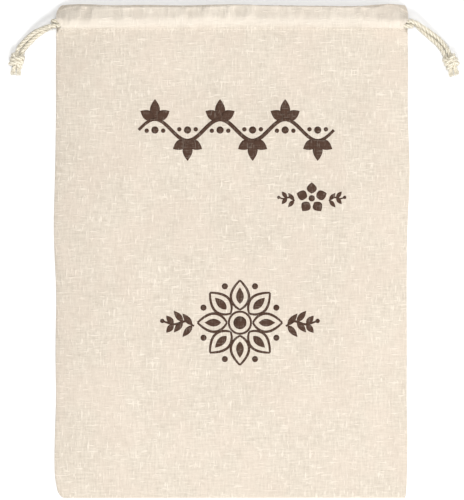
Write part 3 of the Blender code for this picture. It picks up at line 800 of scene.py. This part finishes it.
def build_cord(label, side, route, knot, surface):
    """One drawcord in a held, a front and a back stretch, with its knot, fray and fuzz."""
    places, cuts = cord_route(side, route, knot)
    frames = carried_frames(places)
    lines = [places[a:b + 1] for a, b in zip(cuts, cuts[1:])]
    line_frames = [frames[a:b + 1] for a, b in zip(cuts, cuts[1:])]
    node = "drawcord_" + label

    def cord_mesh(stretches, per_strand):
        bm = bmesh.new()
        for i in stretches:
            add_cord(bm, lines[i], line_frames[i], per_strand)
        return bm

    yarns = bmesh.new()
    for tail, seed in YARN_SEEDS:
        frayed_end(yarns, knot, tail, seed)
    fray = finish_cord("fray_" + label, yarns, surface)
    knot_piece = finish_cord(f"knot_{label}_cord", cord_mesh((0, 4), SIDES_PER_STRAND), surface)
    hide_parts("knot_" + label)

    fuzz = bmesh.new()
    draw = random.Random(FUZZ_SEED)
    for i, density in ((0, KNOT_FUZZ_DENSITY), (1, FUZZ_DENSITY), (3, FUZZ_DENSITY),
                       (4, KNOT_FUZZ_DENSITY)):
        add_fuzz(fuzz, lines[i], line_frames[i], density, draw)
    finish_cord("fuzz_" + label, fuzz, surface)

    held = finish_cord(node + "_held", cord_mesh((2,), HELD_SIDES_PER_STRAND), surface)
    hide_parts(node)
    for stretch, i, slit_end in (("front", 1, -1), ("back", 3, 0)):
        piece = finish_cord(f"{node}_{stretch}", cord_mesh((i,), SIDES_PER_STRAND), surface)
        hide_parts(node)


def build_stitches(thread):
    """The row of stitches below the casing, tacked at both ends, and those at the slits."""
    draw = random.Random(STITCH_SEED)
    bm = bmesh.new()

    def stitch(x0, y0, x1, y1):
        sunk = STITCH_RADIUS * STITCH_SUNK
        start = Vector((x0, y0, front_at(x0, y0) + sunk))
        way = Vector((x1, y1, front_at(x1, y1) + sunk)) - start
        turned = way.to_track_quat("X", "Z").to_matrix().to_4x4()
        shape = Matrix.Diagonal((way.length / 2 * MM, STITCH_RADIUS * MM,
                                 STITCH_RADIUS * STITCH_FLATNESS * MM, 1.0))
        place = Matrix.Translation((start + way / 2) * MM) @ turned @ shape
        bmesh.ops.create_uvsphere(bm, u_segments=6, v_segments=4, radius=1.0,
                                  matrix=place @ Matrix.Rotation(math.pi / 2, 4, "Y"))

    def stray(most):
        return draw.uniform(-most, most)

    y = STITCH_Y + STITCH_ROW
    left, right = side_edges(y)
    x = left + STITCH_INSET
    while x < right - STITCH_INSET - STITCH_LENGTH:
        stitch(x, y + stray(STITCH_STRAY), x + STITCH_LENGTH, y + stray(STITCH_STRAY))
        x += STITCH_PITCH
    for start in (left + STITCH_INSET + TACK_INSET,
                  right - STITCH_INSET - TACK_INSET - TACK_LENGTH):
        for row in TACK_ROWS:
            x = start + draw.uniform(0.0, TACK_START)
            while x < start + TACK_LENGTH:
                stitch(x, y + row, x + STITCH_LENGTH * TACK_STITCH_SHARE,
                       y + row + stray(TACK_STRAY))
                x += STITCH_PITCH * TACK_PITCH_SHARE
    for share in (0.0, 1.0):
        y = STITCH_Y + SLIT_STITCH_START
        while y < HALF_LENGTH - SLIT_STITCH_END:
            left, right = side_edges(y)
            x = right - SLIT_STITCH_INSET if share else left + SLIT_STITCH_INSET
            x += notch(share, y + STITCH_LENGTH / 2)
            stitch(x, y, x, y + STITCH_LENGTH)
            y += STITCH_PITCH
    finish_mesh("stitches", bm, thread)


# Printed ornament, in millimetres on the front
Leaf = namedtuple("Leaf", "x y angle length width")
Dot = namedtuple("Dot", "x y radius")
INK_LIFT, INK_THICKNESS = 0.07, 0.05
LINE_STEP = 2.0
LINE_END, LINE_ROUND = 0.45, 0.08
LEAF_ROWS, PETAL_POINTS = 14, 12
LEAF_BASE, LEAF_POINT = 0.85, 0.9
LEAF_SPREAD = 50

VINE_START, VINE_Y = -79.0, 103.0
VINE_SWING, VINE_WAVE, VINE_BOWS = 9.0, 55.3, 6
VINE_WIDTH, VINE_LEAF_ROOT, VINE_BOW_POINTS = 3.4, 0.8, 12
BROAD_LEAF = 8.6
VINE_FAN = [(0, 16.5), (60, 13.5), (-60, 13.5)]
VINE_BERRIES = [(0.0, 9.0, 3.1), (-7.0, 9.6, 1.9), (7.0, 9.6, 1.9)]

BLOSSOM = Dot(68.0, 45.0, 13.5)
BLOSSOM_PETALS, BLOSSOM_ROOT, BLOSSOM_HEART = 5, 4.0, 2.7
SPRIG = [(14.5, -2.0), (19.0, 0.8), (24.0, -0.4), (28.0, 0.8)]
SPRIG_LEAVES = [(15.0, -1.6, 8.0), (21.0, 0.4, 7.0)]
SPRIG_WIDTHS = (1.5, 3.6)

ROSETTE = Dot(7.0, -60.7, 36.0)
ROSETTE_PETALS, ROSETTE_HEART, ROSETTE_RING, RING_WIDTH = 8, 5.6, 9.4, 1.8
PETAL_GAP, PETAL_WIDTH, PETAL_LINE = 1.6, 15.5, 2.2
PETAL_HEART = (0.2, 0.56, 0.42)
ROSETTE_DOT, ROSETTE_DOT_SHARE = 2.6, 0.93
SPRAY = [(39.0, -3.0), (46.0, 1.2), (56.0, -1.4), (66.0, 1.5)]
SPRAY_LEAVES = [(40.5, -2.2, 13.0), (48.5, 0.9, 12.0), (56.5, -1.3, 9.5)]
SPRAY_WIDTHS = (2.0, 5.2)
BUD_SHARE = 0.95


def polar(x, y, angle, reach):
    return x + reach * math.cos(math.radians(angle)), y + reach * math.sin(math.radians(angle))


def leaf_place(leaf, along, side):
    """A place on a leaf, along its length and from one edge, -1, to the other, 1."""
    angle = math.radians(leaf.angle)
    off = side * (leaf.width / 2 * math.sin(math.pi * along ** LEAF_BASE) ** LEAF_POINT)
    return (leaf.x + along * leaf.length * math.cos(angle) - off * math.sin(angle),
            leaf.y + along * leaf.length * math.sin(angle) + off * math.cos(angle))


def add_leaf(bm, leaf):
    """A pointed leaf."""
    for v, i, j in grid_cells(bm, 4, LEAF_ROWS):
        v.co = (*leaf_place(leaf, j / LEAF_ROWS, i / 2 - 1), 0.0)


def add_line(bm, places, width):
    """A printed line with slightly tapered ends."""
    route = smooth_route([Vector((x, y, 0)) for x, y in places], LINE_STEP)
    last = len(route) - 1
    for v, i, j in grid_cells(bm, 2, last):
        _, side = level_axes(*(route[min(j + 1, last)] - route[max(j - 1, 0)]).xy)
        along = LINE_ROUND + (1 - 2 * LINE_ROUND) * j / last
        taper = LINE_END + (1 - LINE_END) * math.sin(math.pi * along) ** 0.5
        v.co = route[j] + side * (i - 1) * width / 2 * taper


def add_dot(bm, dot):
    """A round printed dot."""
    bmesh.ops.create_circle(bm, cap_ends=True, cap_tris=True, segments=24, radius=dot.radius,
                            matrix=Matrix.Translation((dot.x, dot.y, 0)))


def add_ring(bm, dot, width):
    """A printed ring round a middle."""
    edges = []
    for radius in (dot.radius - width / 2, dot.radius + width / 2):
        made = bmesh.ops.create_circle(bm, segments=40, radius=radius,
                                       matrix=Matrix.Translation((dot.x, dot.y, 0)))
        edges += list({e for v in made["verts"] for e in v.link_edges})
    bmesh.ops.bridge_loops(bm, edges=edges)


def add_petal(bm, leaf, width):
    """A petal drawn as an outline with a small filled heart."""
    for side in (1, -1):
        add_line(bm, [leaf_place(leaf, k / PETAL_POINTS, side) for k in range(PETAL_POINTS + 1)],
                 width)
    start, length, across_share = PETAL_HEART
    x, y = polar(leaf.x, leaf.y, leaf.angle, leaf.length * start)
    add_leaf(bm, Leaf(x, y, leaf.angle, leaf.length * length, leaf.width * across_share))


def vine_place(x):
    return x, VINE_Y + VINE_SWING * math.sin(2 * math.pi * (x - VINE_START) / VINE_WAVE)


def print_vine(bm):
    """A waving vine with a fan of leaves outside each bow and berries inside it."""
    length = VINE_BOWS * VINE_WAVE / 2
    count = VINE_BOW_POINTS * VINE_BOWS
    add_line(bm, [vine_place(VINE_START + i * length / count) for i in range(count + 1)],
             VINE_WIDTH)
    for bow in range(VINE_BOWS):
        out = 1 if bow % 2 == 0 else -1
        x, y = vine_place(VINE_START + (bow + 0.5) * VINE_WAVE / 2)
        for turn, reach in VINE_FAN:
            angle = 90 * out + turn
            add_leaf(bm, Leaf(*polar(x, y, angle, VINE_LEAF_ROOT), angle, reach, BROAD_LEAF))
        for beside, inward, radius in VINE_BERRIES:
            add_dot(bm, Dot(x + beside, y - out * inward, radius))


def mirrored_spray(bm, middle, stem, leaves, widths):
    """The same leafy stem to either side of a flower, with widths for its stem and leaves."""
    width, leaf_width = widths
    for side in (-1, 1):
        add_line(bm, [(middle.x + side * x, middle.y + y) for x, y in stem], width)
        for x, y, length in leaves:
            for up in (1, -1):
                angle = up * LEAF_SPREAD if side > 0 else 180 - up * LEAF_SPREAD
                add_leaf(bm, Leaf(middle.x + side * x, middle.y + y, angle, length, leaf_width))
        x, y = stem[-1]
        add_dot(bm, Dot(middle.x + side * x, middle.y + y, width * BUD_SHARE))


def print_blossoms(bm):
    """A small five-petalled blossom between two sprigs."""
    for i in range(BLOSSOM_PETALS):
        angle = 90 + 360 * i / BLOSSOM_PETALS
        add_leaf(bm, Leaf(*polar(BLOSSOM.x, BLOSSOM.y, angle, BLOSSOM_ROOT), angle,
                          BLOSSOM.radius - BLOSSOM_ROOT, BROAD_LEAF))
    add_dot(bm, Dot(BLOSSOM.x, BLOSSOM.y, BLOSSOM_HEART))
    mirrored_spray(bm, BLOSSOM, SPRIG, SPRIG_LEAVES, SPRIG_WIDTHS)


def print_rosette(bm):
    """A round flower of outlined petals between two sprays of leaves."""
    add_dot(bm, Dot(ROSETTE.x, ROSETTE.y, ROSETTE_HEART))
    add_ring(bm, Dot(ROSETTE.x, ROSETTE.y, ROSETTE_RING), RING_WIDTH)
    for i in range(ROSETTE_PETALS):
        angle = 90 + 360 * i / ROSETTE_PETALS
        add_petal(bm, Leaf(*polar(ROSETTE.x, ROSETTE.y, angle, ROSETTE_RING + PETAL_GAP), angle,
                           ROSETTE.radius - ROSETTE_RING - PETAL_GAP, PETAL_WIDTH), PETAL_LINE)
        between = angle + 180 / ROSETTE_PETALS
        add_dot(bm, Dot(*polar(ROSETTE.x, ROSETTE.y, between,
                               ROSETTE.radius * ROSETTE_DOT_SHARE), ROSETTE_DOT))
    mirrored_spray(bm, ROSETTE, SPRAY, SPRAY_LEAVES, SPRAY_WIDTHS)


def build_print(ink):
    """Each printed motif, laid down on the front cloth."""
    for name, draw_motif in (("print_vine", print_vine), ("print_blossoms", print_blossoms),
                             ("print_rosette", print_rosette)):
        bm = bmesh.new()
        layer = bm.loops.layers.uv.new("cloth")
        draw_motif(bm)
        bmesh.ops.remove_doubles(bm, verts=bm.verts, dist=1e-4)
        for v in bm.verts:
            v.co.z = front_at(v.co.x, v.co.y) + INK_LIFT
            v.co *= MM
        bm.normal_update()
        for face in bm.faces:
            if face.normal.z < 0:
                face.normal_flip()
            for loop in face.loops:
                loop[layer].uv = loop.vert.co.xy
        piece = finish_mesh(name, bm, ink)
        thicken(piece, INK_THICKNESS)


# Materials: where the cloth looks different, in metres run up it from the middle; the casing bands
# and the bottom seam carry painted highlight, and the band above the cords carries painted shade in
# its gathers
CASING_BAND = (0.1900, 0.1965, 0.2085, 0.2200)
OVER_CORD_BAND = (0.1900, 0.1960, 0.1975, 0.2050)
ABOVE_CORD_BAND = (0.1965, 0.2020, 0.2100, 0.2150)
SEAM_EDGE, SEAM_INNER = -0.2102, -0.2090
# Shares of painted highlight on the casing band, over the cords and at the bottom seam, then the
# painted shade in the gathers' troughs and the gathers' relief
CASING_HIGHLIGHT, OVER_CORD_HIGHLIGHT, SEAM_HIGHLIGHT = 0.38, 0.10, 0.8
GATHER_SHADE, GATHER_HEIGHT = 0.50, 3.5
WARM_MOST = 0.30
WEAVE_RELIEF = 0.3
COTTON_RELIEF = 0.0004


class Nodes:
    """Short ways to add and join nodes in one tree."""

    def __init__(self, tree):
        self.tree = tree

    def add(self, kind, **values):
        node = self.tree.nodes.new(kind)
        for name, value in values.items():
            setattr(node, name, value)
        return node

    def put(self, socket, value):
        if isinstance(value, bpy.types.NodeSocket):
            self.tree.links.new(value, socket)
        else:
            socket.default_value = value

    def made(self, node, output, *values):
        """The node's output, with the values on its first inputs."""
        for socket, value in zip(node.inputs, values):
            self.put(socket, value)
        return node.outputs[output]

    def math(self, operation, *values, clamp=False):
        node = self.add("ShaderNodeMath", operation=operation, use_clamp=clamp)
        return self.made(node, 0, *values)

    def times(self, first, second):
        return self.math("MULTIPLY", first, second)

    def swing(self, value, middle, weight, onto, clamp=False):
        """Adds how far a value is from its middle, weighted, onto another."""
        return self.math("MULTIPLY_ADD", self.math("SUBTRACT", value, middle), weight, onto,
                         clamp=clamp)

    def combine(self, *values):
        return self.made(self.add("ShaderNodeCombineXYZ"), 0, *values)

    def uv(self, name):
        """The UV map itself, and its two parts."""
        place = self.add("ShaderNodeUVMap", uv_map=name).outputs["UV"]
        parts = self.add("ShaderNodeSeparateXYZ")
        self.made(parts, 0, place)
        return place, parts.outputs[0], parts.outputs[1]

    def noise(self, vector, scale=1.0, detail=2.0, roughness=0.5):
        node = self.add("ShaderNodeTexNoise")
        for name, value in (("Vector", vector), ("Scale", scale), ("Detail", detail),
                            ("Roughness", roughness)):
            self.put(node.inputs[name], value)
        return node.outputs["Fac"]

    def streaks(self, u, v, across_rate, along_rate, offset=0.0, detail=2.0, roughness=0.5):
        """Noise drawn out across or along the cloth."""
        place = self.combine(self.times(u, across_rate), self.times(v, along_rate), offset)
        return self.noise(place, 1.0, detail, roughness)

    def fit(self, value, low, high, to_low=0.0, to_high=1.0):
        node = self.add("ShaderNodeMapRange", clamp=True, interpolation_type="SMOOTHSTEP")
        return self.made(node, "Result", value, low, high, to_low, to_high)

    def band(self, value, start, full, fade, end):
        """1 from full to fade, none before the start and after the end."""
        return self.times(self.fit(value, start, full), self.fit(value, fade, end, 1.0, 0.0))

    def mix(self, factor, first, second):
        node = self.add("ShaderNodeMix", data_type="RGBA")
        for socket, value in ((0, factor), (6, first), (7, second)):
            self.put(node.inputs[socket], value)
        return node.outputs[2]


def weave_group():
    """Plain weave with uneven threads: relief, tone and the slubs that stand out."""
    group = bpy.data.node_groups.new("plain_weave", "ShaderNodeTree")
    for name, kind, way in (("Place", "Vector", "INPUT"), ("Thread Pitch", "Float", "INPUT"),
                            ("Height", "Float", "OUTPUT"), ("Tone", "Float", "OUTPUT")):
        group.interface.new_socket(name=name, in_out=way, socket_type="NodeSocket" + kind)
    n = Nodes(group)
    given, out = n.add("NodeGroupInput"), n.add("NodeGroupOutput")
    parts = n.add("ShaderNodeSeparateXYZ")
    n.made(parts, 0, given.outputs["Place"])
    u, v = (n.math("DIVIDE", parts.outputs[i], given.outputs["Thread Pitch"]) for i in (0, 1))
    sway_u = n.streaks(u, v, 0.6, 0.05)
    sway_v = n.streaks(u, v, 0.05, 0.6, 7.0)
    u = n.math("ADD", u, n.times(sway_u, 0.9))
    v = n.math("ADD", v, n.times(sway_v, 0.9))
    wave_u, wave_v = (n.math("SINE", n.times(w, math.pi)) for w in (u, v))
    over = n.times(wave_u, wave_v)
    warp, weft = (n.times(n.math("POWER", n.math("ABSOLUTE", wave), 0.6),
                          n.math("MULTIPLY_ADD", over, way, 0.5))
                  for wave, way in ((wave_u, 0.5), (wave_v, -0.5)))
    threads = n.math("MAXIMUM", warp, weft)
    streaks = n.math("ADD", n.streaks(u, v, 0.42, 0.060, 0.0, 3.0, 0.7),
                     n.streaks(u, v, 0.060, 0.42, 3.0, 3.0, 0.7))
    slubs = n.math("ADD", n.fit(n.streaks(u, v, 0.36, 0.075, 19.0, 1.0), 0.60, 0.74),
                   n.fit(n.streaks(u, v, 0.065, 0.36, 31.0, 1.0), 0.60, 0.74), clamp=True)
    cloud = n.streaks(u, v, 0.02, 0.014, 5.0, 3.0)
    tone = n.swing(streaks, 1.0, 1.35, 0.42)
    tone = n.swing(cloud, 0.5, 0.4, tone)
    tone = n.swing(threads, 0.5, 0.16, tone)
    tone = n.math("MULTIPLY_ADD", slubs, 0.75, tone, clamp=True)
    height = n.math("MULTIPLY_ADD", slubs, 1.15, threads)
    height = n.math("MULTIPLY_ADD", streaks, 0.5, height)
    n.put(out.inputs["Height"], height)
    n.put(out.inputs["Tone"], tone)
    return group


def new_surface(name, roughness, specular, **more):
    """A material with its nodes and shader; more sets other inputs of the shader."""
    made = bpy.data.materials.new(name)
    made.use_nodes = True
    shader = made.node_tree.nodes["Principled BSDF"]
    values = {"roughness": roughness, "metallic": 0.0, "specular_ior_level": specular, **more}
    for label, value in values.items():
        socket = next(s for s in shader.inputs if s.name.lower().replace(" ", "_") == label)
        socket.default_value = value
    return made, Nodes(made.node_tree), shader


def finish_surface(n, shader, colour, height, distance):
    """Joins the colour and the relief to the shader."""
    node = n.add("ShaderNodeBump")
    node.inputs["Distance"].default_value = distance
    n.put(node.inputs["Height"], height)
    n.put(shader.inputs["Normal"], node.outputs["Normal"])
    n.put(shader.inputs["Base Color"], colour)


def weave_in(n, sizes):
    """The weave's tone and height on the cloth, with the place across and the run up it."""
    place, x, run = n.uv("cloth")
    weave = n.add("ShaderNodeGroup",
                  node_tree=bpy.data.node_groups.get("plain_weave") or weave_group())
    n.put(weave.inputs["Place"], place)
    weave.inputs["Thread Pitch"].default_value = sizes.thread_pitch
    return weave.outputs["Tone"], weave.outputs["Height"], x, run


def linen_surface(sizes):
    """Woven linen gathered in small upright folds on the casing, with painted highlight and shade.
    """
    made, n, shader = new_surface("linen_cloth", 0.92, 0.2, sheen_weight=0.08,
                                  sheen_roughness=0.5)
    tone, height, x, run = weave_in(n, sizes)
    above_cord = n.band(run, *ABOVE_CORD_BAND)
    folds = n.streaks(x, run, 95.0, 18.0, 0.0, 2.0, 0.6)
    folds = n.times(n.fit(folds, 0.40, 0.60), above_cord)
    # Painted shade: the troughs of the gathers above the cords are darkened towards the dark linen
    tone = n.swing(folds, above_cord, GATHER_SHADE, tone, clamp=True)
    colour = n.mix(tone, tuple(sizes.linen_dark), tuple(sizes.linen_light))
    warm = n.streaks(x, run, 26.0, 21.0, 0.0, 2.0, 0.6)
    colour = n.mix(n.fit(warm, 0.42, 0.62, 0.0, WARM_MOST), colour, tuple(sizes.linen_warm))
    # Painted highlight: the casing band, the cloth over the cords and the bottom seam are
    # lightened, as where they catch the light
    painted_highlight = n.math("MULTIPLY_ADD", n.band(run, *OVER_CORD_BAND), OVER_CORD_HIGHLIGHT,
                     n.times(n.band(run, *CASING_BAND), CASING_HIGHLIGHT))
    seam = n.fit(run, SEAM_EDGE, SEAM_INNER, 1.0, 0.0)
    painted_highlight = n.math("MULTIPLY_ADD", seam, SEAM_HIGHLIGHT, painted_highlight, clamp=True)
    colour = n.mix(painted_highlight, colour, tuple(sizes.linen_highlight))
    height = n.math("MULTIPLY_ADD", folds, GATHER_HEIGHT, height)
    finish_surface(n, shader, colour, height, sizes.thread_pitch * WEAVE_RELIEF)
    return made


def ink_surface(sizes):
    """Print that has sunk into the threads and thinned on the highest ones."""
    made, n, shader = new_surface("printed_ink", 0.85, 0.2)
    tone, height, _, _ = weave_in(n, sizes)
    linen = n.mix(tone, tuple(sizes.linen_dark), tuple(sizes.linen_light))
    colour = n.mix(n.fit(tone, 0.35, 0.95, 1.0, 0.90), linen, tuple(sizes.ink_colour))
    finish_surface(n, shader, colour, height, sizes.thread_pitch * WEAVE_RELIEF)
    return made


def cotton_surface(sizes):
    """Cotton yarns that run along the cord, with painted shade between the strands."""
    made, n, shader = new_surface("cotton_yarn", 0.9, 0.2, sheen_weight=0.15)
    _, u, v = n.uv("cord")
    turn = n.times(u, 2 * math.pi)
    ring = (n.math("COSINE", turn), n.math("SINE", turn))
    yarns = n.noise(n.combine(*ring, n.times(v, 110.0)), 5.0, 3.0, 0.6)
    fleck = n.noise(n.combine(*ring, n.times(v, 500.0)), 2.2)
    crown = n.add("ShaderNodeAttribute", attribute_name="crown").outputs["Fac"]
    # Painted shade: where the crown is low, between the strands, the tone falls towards the shaded
    # cotton
    tone = n.swing(yarns, 0.5, 1.4, n.fit(crown, 0.0, 0.75, 0.25, 0.90))
    tone = n.swing(fleck, 0.5, 1.3, tone, clamp=True)
    colour = n.mix(tone, tuple(sizes.cotton_shade_and_fleck), tuple(sizes.cotton_light))
    finish_surface(n, shader, colour, n.math("ADD", yarns, n.times(fleck, 0.5)), COTTON_RELIEF)
    return made


def colour_setting(name, description, *rgb):
    """A colour that a user can change."""
    return bpy.props.FloatVectorProperty(
        name=name, description=description, default=(*rgb, 1.0), size=4, min=0.0, max=1.0,
        subtype="COLOR")


def power_setting(name, description, default):
    """A light's power that a user can change."""
    return bpy.props.FloatProperty(name=name, description=description, default=default, min=0.0,
                                   unit="POWER")


class BagClothSettings(bpy.types.PropertyGroup):
    """Sizes and colours of the cloth"""
    thread_pitch: bpy.props.FloatProperty(
        name="Thread pitch", description="Distance from one thread of the linen to the next",
        default=0.00066, min=0.0003, max=0.002, unit="LENGTH", precision=5)
    linen_light: colour_setting(
        "Light linen", "Colour of the linen's lighter threads", 0.76, 0.685, 0.585)
    linen_dark: colour_setting(
        "Dark linen", "Colour of the linen's darker threads", 0.54, 0.473, 0.39)
    linen_warm: colour_setting(
        "Warm linen", "Colour of the linen's warmer patches", 0.685, 0.575, 0.485)
    # Colour of the painted highlight on the casing and at the bottom seam
    linen_highlight: colour_setting(
        "Linen highlight", "Colour of the painted highlight on the casing and at the bottom seam", 0.89, 0.815, 0.71)
    ink_colour: colour_setting("Ink", "Colour of the printed ornament", 0.070, 0.036, 0.023)
    thread_colour: colour_setting("Sewing thread", "Colour of the stitches", 0.77, 0.70, 0.60)


class BagCordSettings(bpy.types.PropertyGroup):
    """Colours of the drawcords"""
    cotton_light: colour_setting(
        "Light cotton", "Colour on top of the cord's strands", 0.82, 0.765, 0.64)
    # Colour of the painted shade between the strands, and of the darker yarns and flecks
    cotton_shade_and_fleck: colour_setting(
        "Shaded cotton", "Colour between the cord's strands", 0.48, 0.425, 0.31)


class BagStageSettings(bpy.types.PropertyGroup):
    """Floor, light and camera"""
    floor_colour: colour_setting("Floor", "Colour of the surface under the bag", 0.85, 0.85, 0.85)
    overhead_power: power_setting(
        "Overhead light", "Power of the wide light straight above", 74.0)
    key_power: power_setting("Key light", "Power of the wide light below the bottom seam", 80.0)
    fill_power: power_setting("Fill light", "Power of the light to the right", 25.0)
    sky: bpy.props.FloatProperty(
        name="Surrounding light", description="Strength of the even light from all round",
        default=0.36, min=0.0)
    camera_height: bpy.props.FloatProperty(
        name="Camera height", description="Distance from the surface to the camera",
        default=3.0, min=0.5, unit="LENGTH")


# Stage, in metres
CAMERA_X, CAMERA_Y = 0.00026, 0.00107
VIEW_LONG_SIDE = 0.426
VIEW_PLANE = 0.003
SENSOR = 36.0
FLOOR_SIZE, FLOOR_DROP = 8.0, 0.0001
LAMPS = table(
    "name place size power",
    ("overhead_light", (0.05, 0.45, 3.6), 1.4, "overhead_power"),
    ("key_light", (0.0, -2.6, 2.75), 1.1, "key_power"),
    ("fill_light", (2.5, -0.4, 1.5), 1.2, "fill_power"))


def link_new(data, name):
    """A new object of the scene that holds the data."""
    made = bpy.data.objects.new(name, data)
    bpy.context.scene.collection.objects.link(made)
    return made


def add_light(lamp, power):
    """A round, wide light aimed at the middle of the bag."""
    data = bpy.data.lights.new(lamp.name, "AREA")
    data.shape = "DISK"
    data.size = lamp.size
    data.energy = power
    made = link_new(data, lamp.name)
    made.location = lamp.place
    made.rotation_euler = (-Vector(lamp.place)).to_track_quat("-Z", "Y").to_euler()


class BAG_OT_stage(bpy.types.Operator):
    """Adds the floor, the lights and the camera"""
    bl_idname = "bag.stage"
    bl_label = "Stage"

    def execute(self, context):
        stage = context.scene.bag_stage
        pale, _, _ = new_surface("pale_floor", 0.9, 0.0, base_color=tuple(stage.floor_colour))
        bm = bmesh.new()
        bmesh.ops.create_grid(bm, x_segments=1, y_segments=1, size=FLOOR_SIZE,
                              matrix=Matrix.Translation((0, 0, -FLOOR_DROP)))
        finish_mesh("floor", bm, pale, False)
        for lamp in LAMPS:
            add_light(lamp, getattr(stage, lamp.power))
        world = bpy.data.worlds.new("surroundings")
        world.use_nodes = True
        back = world.node_tree.nodes["Background"]
        back.inputs["Color"].default_value = (1.0, 1.0, 1.0, 1.0)
        back.inputs["Strength"].default_value = stage.sky
        context.scene.world = world
        context.scene.view_settings.view_transform = "Standard"
        data = bpy.data.cameras.new("camera")
        data.sensor_width = SENSOR
        data.lens = SENSOR * (stage.camera_height - VIEW_PLANE) / VIEW_LONG_SIDE
        data.clip_end = 10 * stage.camera_height
        camera = link_new(data, "camera")
        camera.location = (CAMERA_X, CAMERA_Y, stage.camera_height)
        context.scene.camera = camera
        return {"FINISHED"}


class BAG_OT_cords(bpy.types.Operator):
    """Adds both drawcords with their knots and frayed tails"""
    bl_idname = "bag.cords"
    bl_label = "Drawcords"

    def execute(self, context):
        cotton = cotton_surface(context.scene.bag_cord)
        build_cord("left", -1, LEFT_ROUTE, LEFT_KNOT, cotton)
        build_cord("right", 1, RIGHT_ROUTE, RIGHT_KNOT, cotton)
        return {"FINISHED"}


class BAG_OT_panels(bpy.types.Operator):
    """Adds the front and the back cloth with their casings"""
    bl_idname = "bag.panels"
    bl_label = "Cloth"

    def execute(self, context):
        cloth = linen_surface(context.scene.bag_cloth)
        front = build_sheet("front_cloth", front_row, BODY_STEP, COLUMN_STEP, True, cloth)
        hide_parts("front_panel")
        back = build_sheet("back_cloth", back_row, BACK_BODY_STEP, BACK_COLUMN_STEP, False, cloth)
        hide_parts("back_panel")
        return {"FINISHED"}


class BAG_OT_stitches(bpy.types.Operator):
    """Adds the stitches of the casing and the slits"""
    bl_idname = "bag.stitches"
    bl_label = "Stitches"

    def execute(self, context):
        thread, _, _ = new_surface("sewing_thread", 0.7, 0.3,
                                   base_color=tuple(context.scene.bag_cloth.thread_colour))
        build_stitches(thread)
        return {"FINISHED"}


class BAG_OT_print(bpy.types.Operator):
    """Adds the printed ornament"""
    bl_idname = "bag.print"
    bl_label = "Print"

    def execute(self, context):
        build_print(ink_surface(context.scene.bag_cloth))
        return {"FINISHED"}


class BAG_PT_steps(bpy.types.Panel):
    """Lists the steps that build the bag"""
    bl_label = "Bread bag"
    bl_idname = "BAG_PT_steps"
    bl_space_type = "VIEW_3D"
    bl_region_type = "UI"
    bl_category = "Bread Bag"

    def draw(self, context):
        for step in STEPS:
            self.layout.operator(step.bl_idname)
        for settings in SETTINGS:
            group = getattr(context.scene, settings)
            box = self.layout.box()
            for name in group.bl_rna.properties.keys():
                if name not in ("rna_type", "name"):
                    box.prop(group, name)


STEPS = (BAG_OT_stage, BAG_OT_cords, BAG_OT_panels, BAG_OT_stitches, BAG_OT_print)
SETTINGS = {"bag_cloth": BagClothSettings, "bag_cord": BagCordSettings,
            "bag_stage": BagStageSettings}
CLASSES = (*SETTINGS.values(), *STEPS, BAG_PT_steps)


def register():
    for cls in CLASSES:
        bpy.utils.register_class(cls)
    for name, settings in SETTINGS.items():
        setattr(bpy.types.Scene, name, bpy.props.PointerProperty(type=settings))


def unregister():
    for name in SETTINGS:
        delattr(bpy.types.Scene, name)
    for cls in reversed(CLASSES):
        bpy.utils.unregister_class(cls)


def main():
    register()
    bpy.ops.bag.stage()
    bpy.ops.bag.cords()
    bpy.ops.bag.panels()
    bpy.ops.bag.stitches()
    bpy.ops.bag.print()


if __name__ == "__main__":
    main()
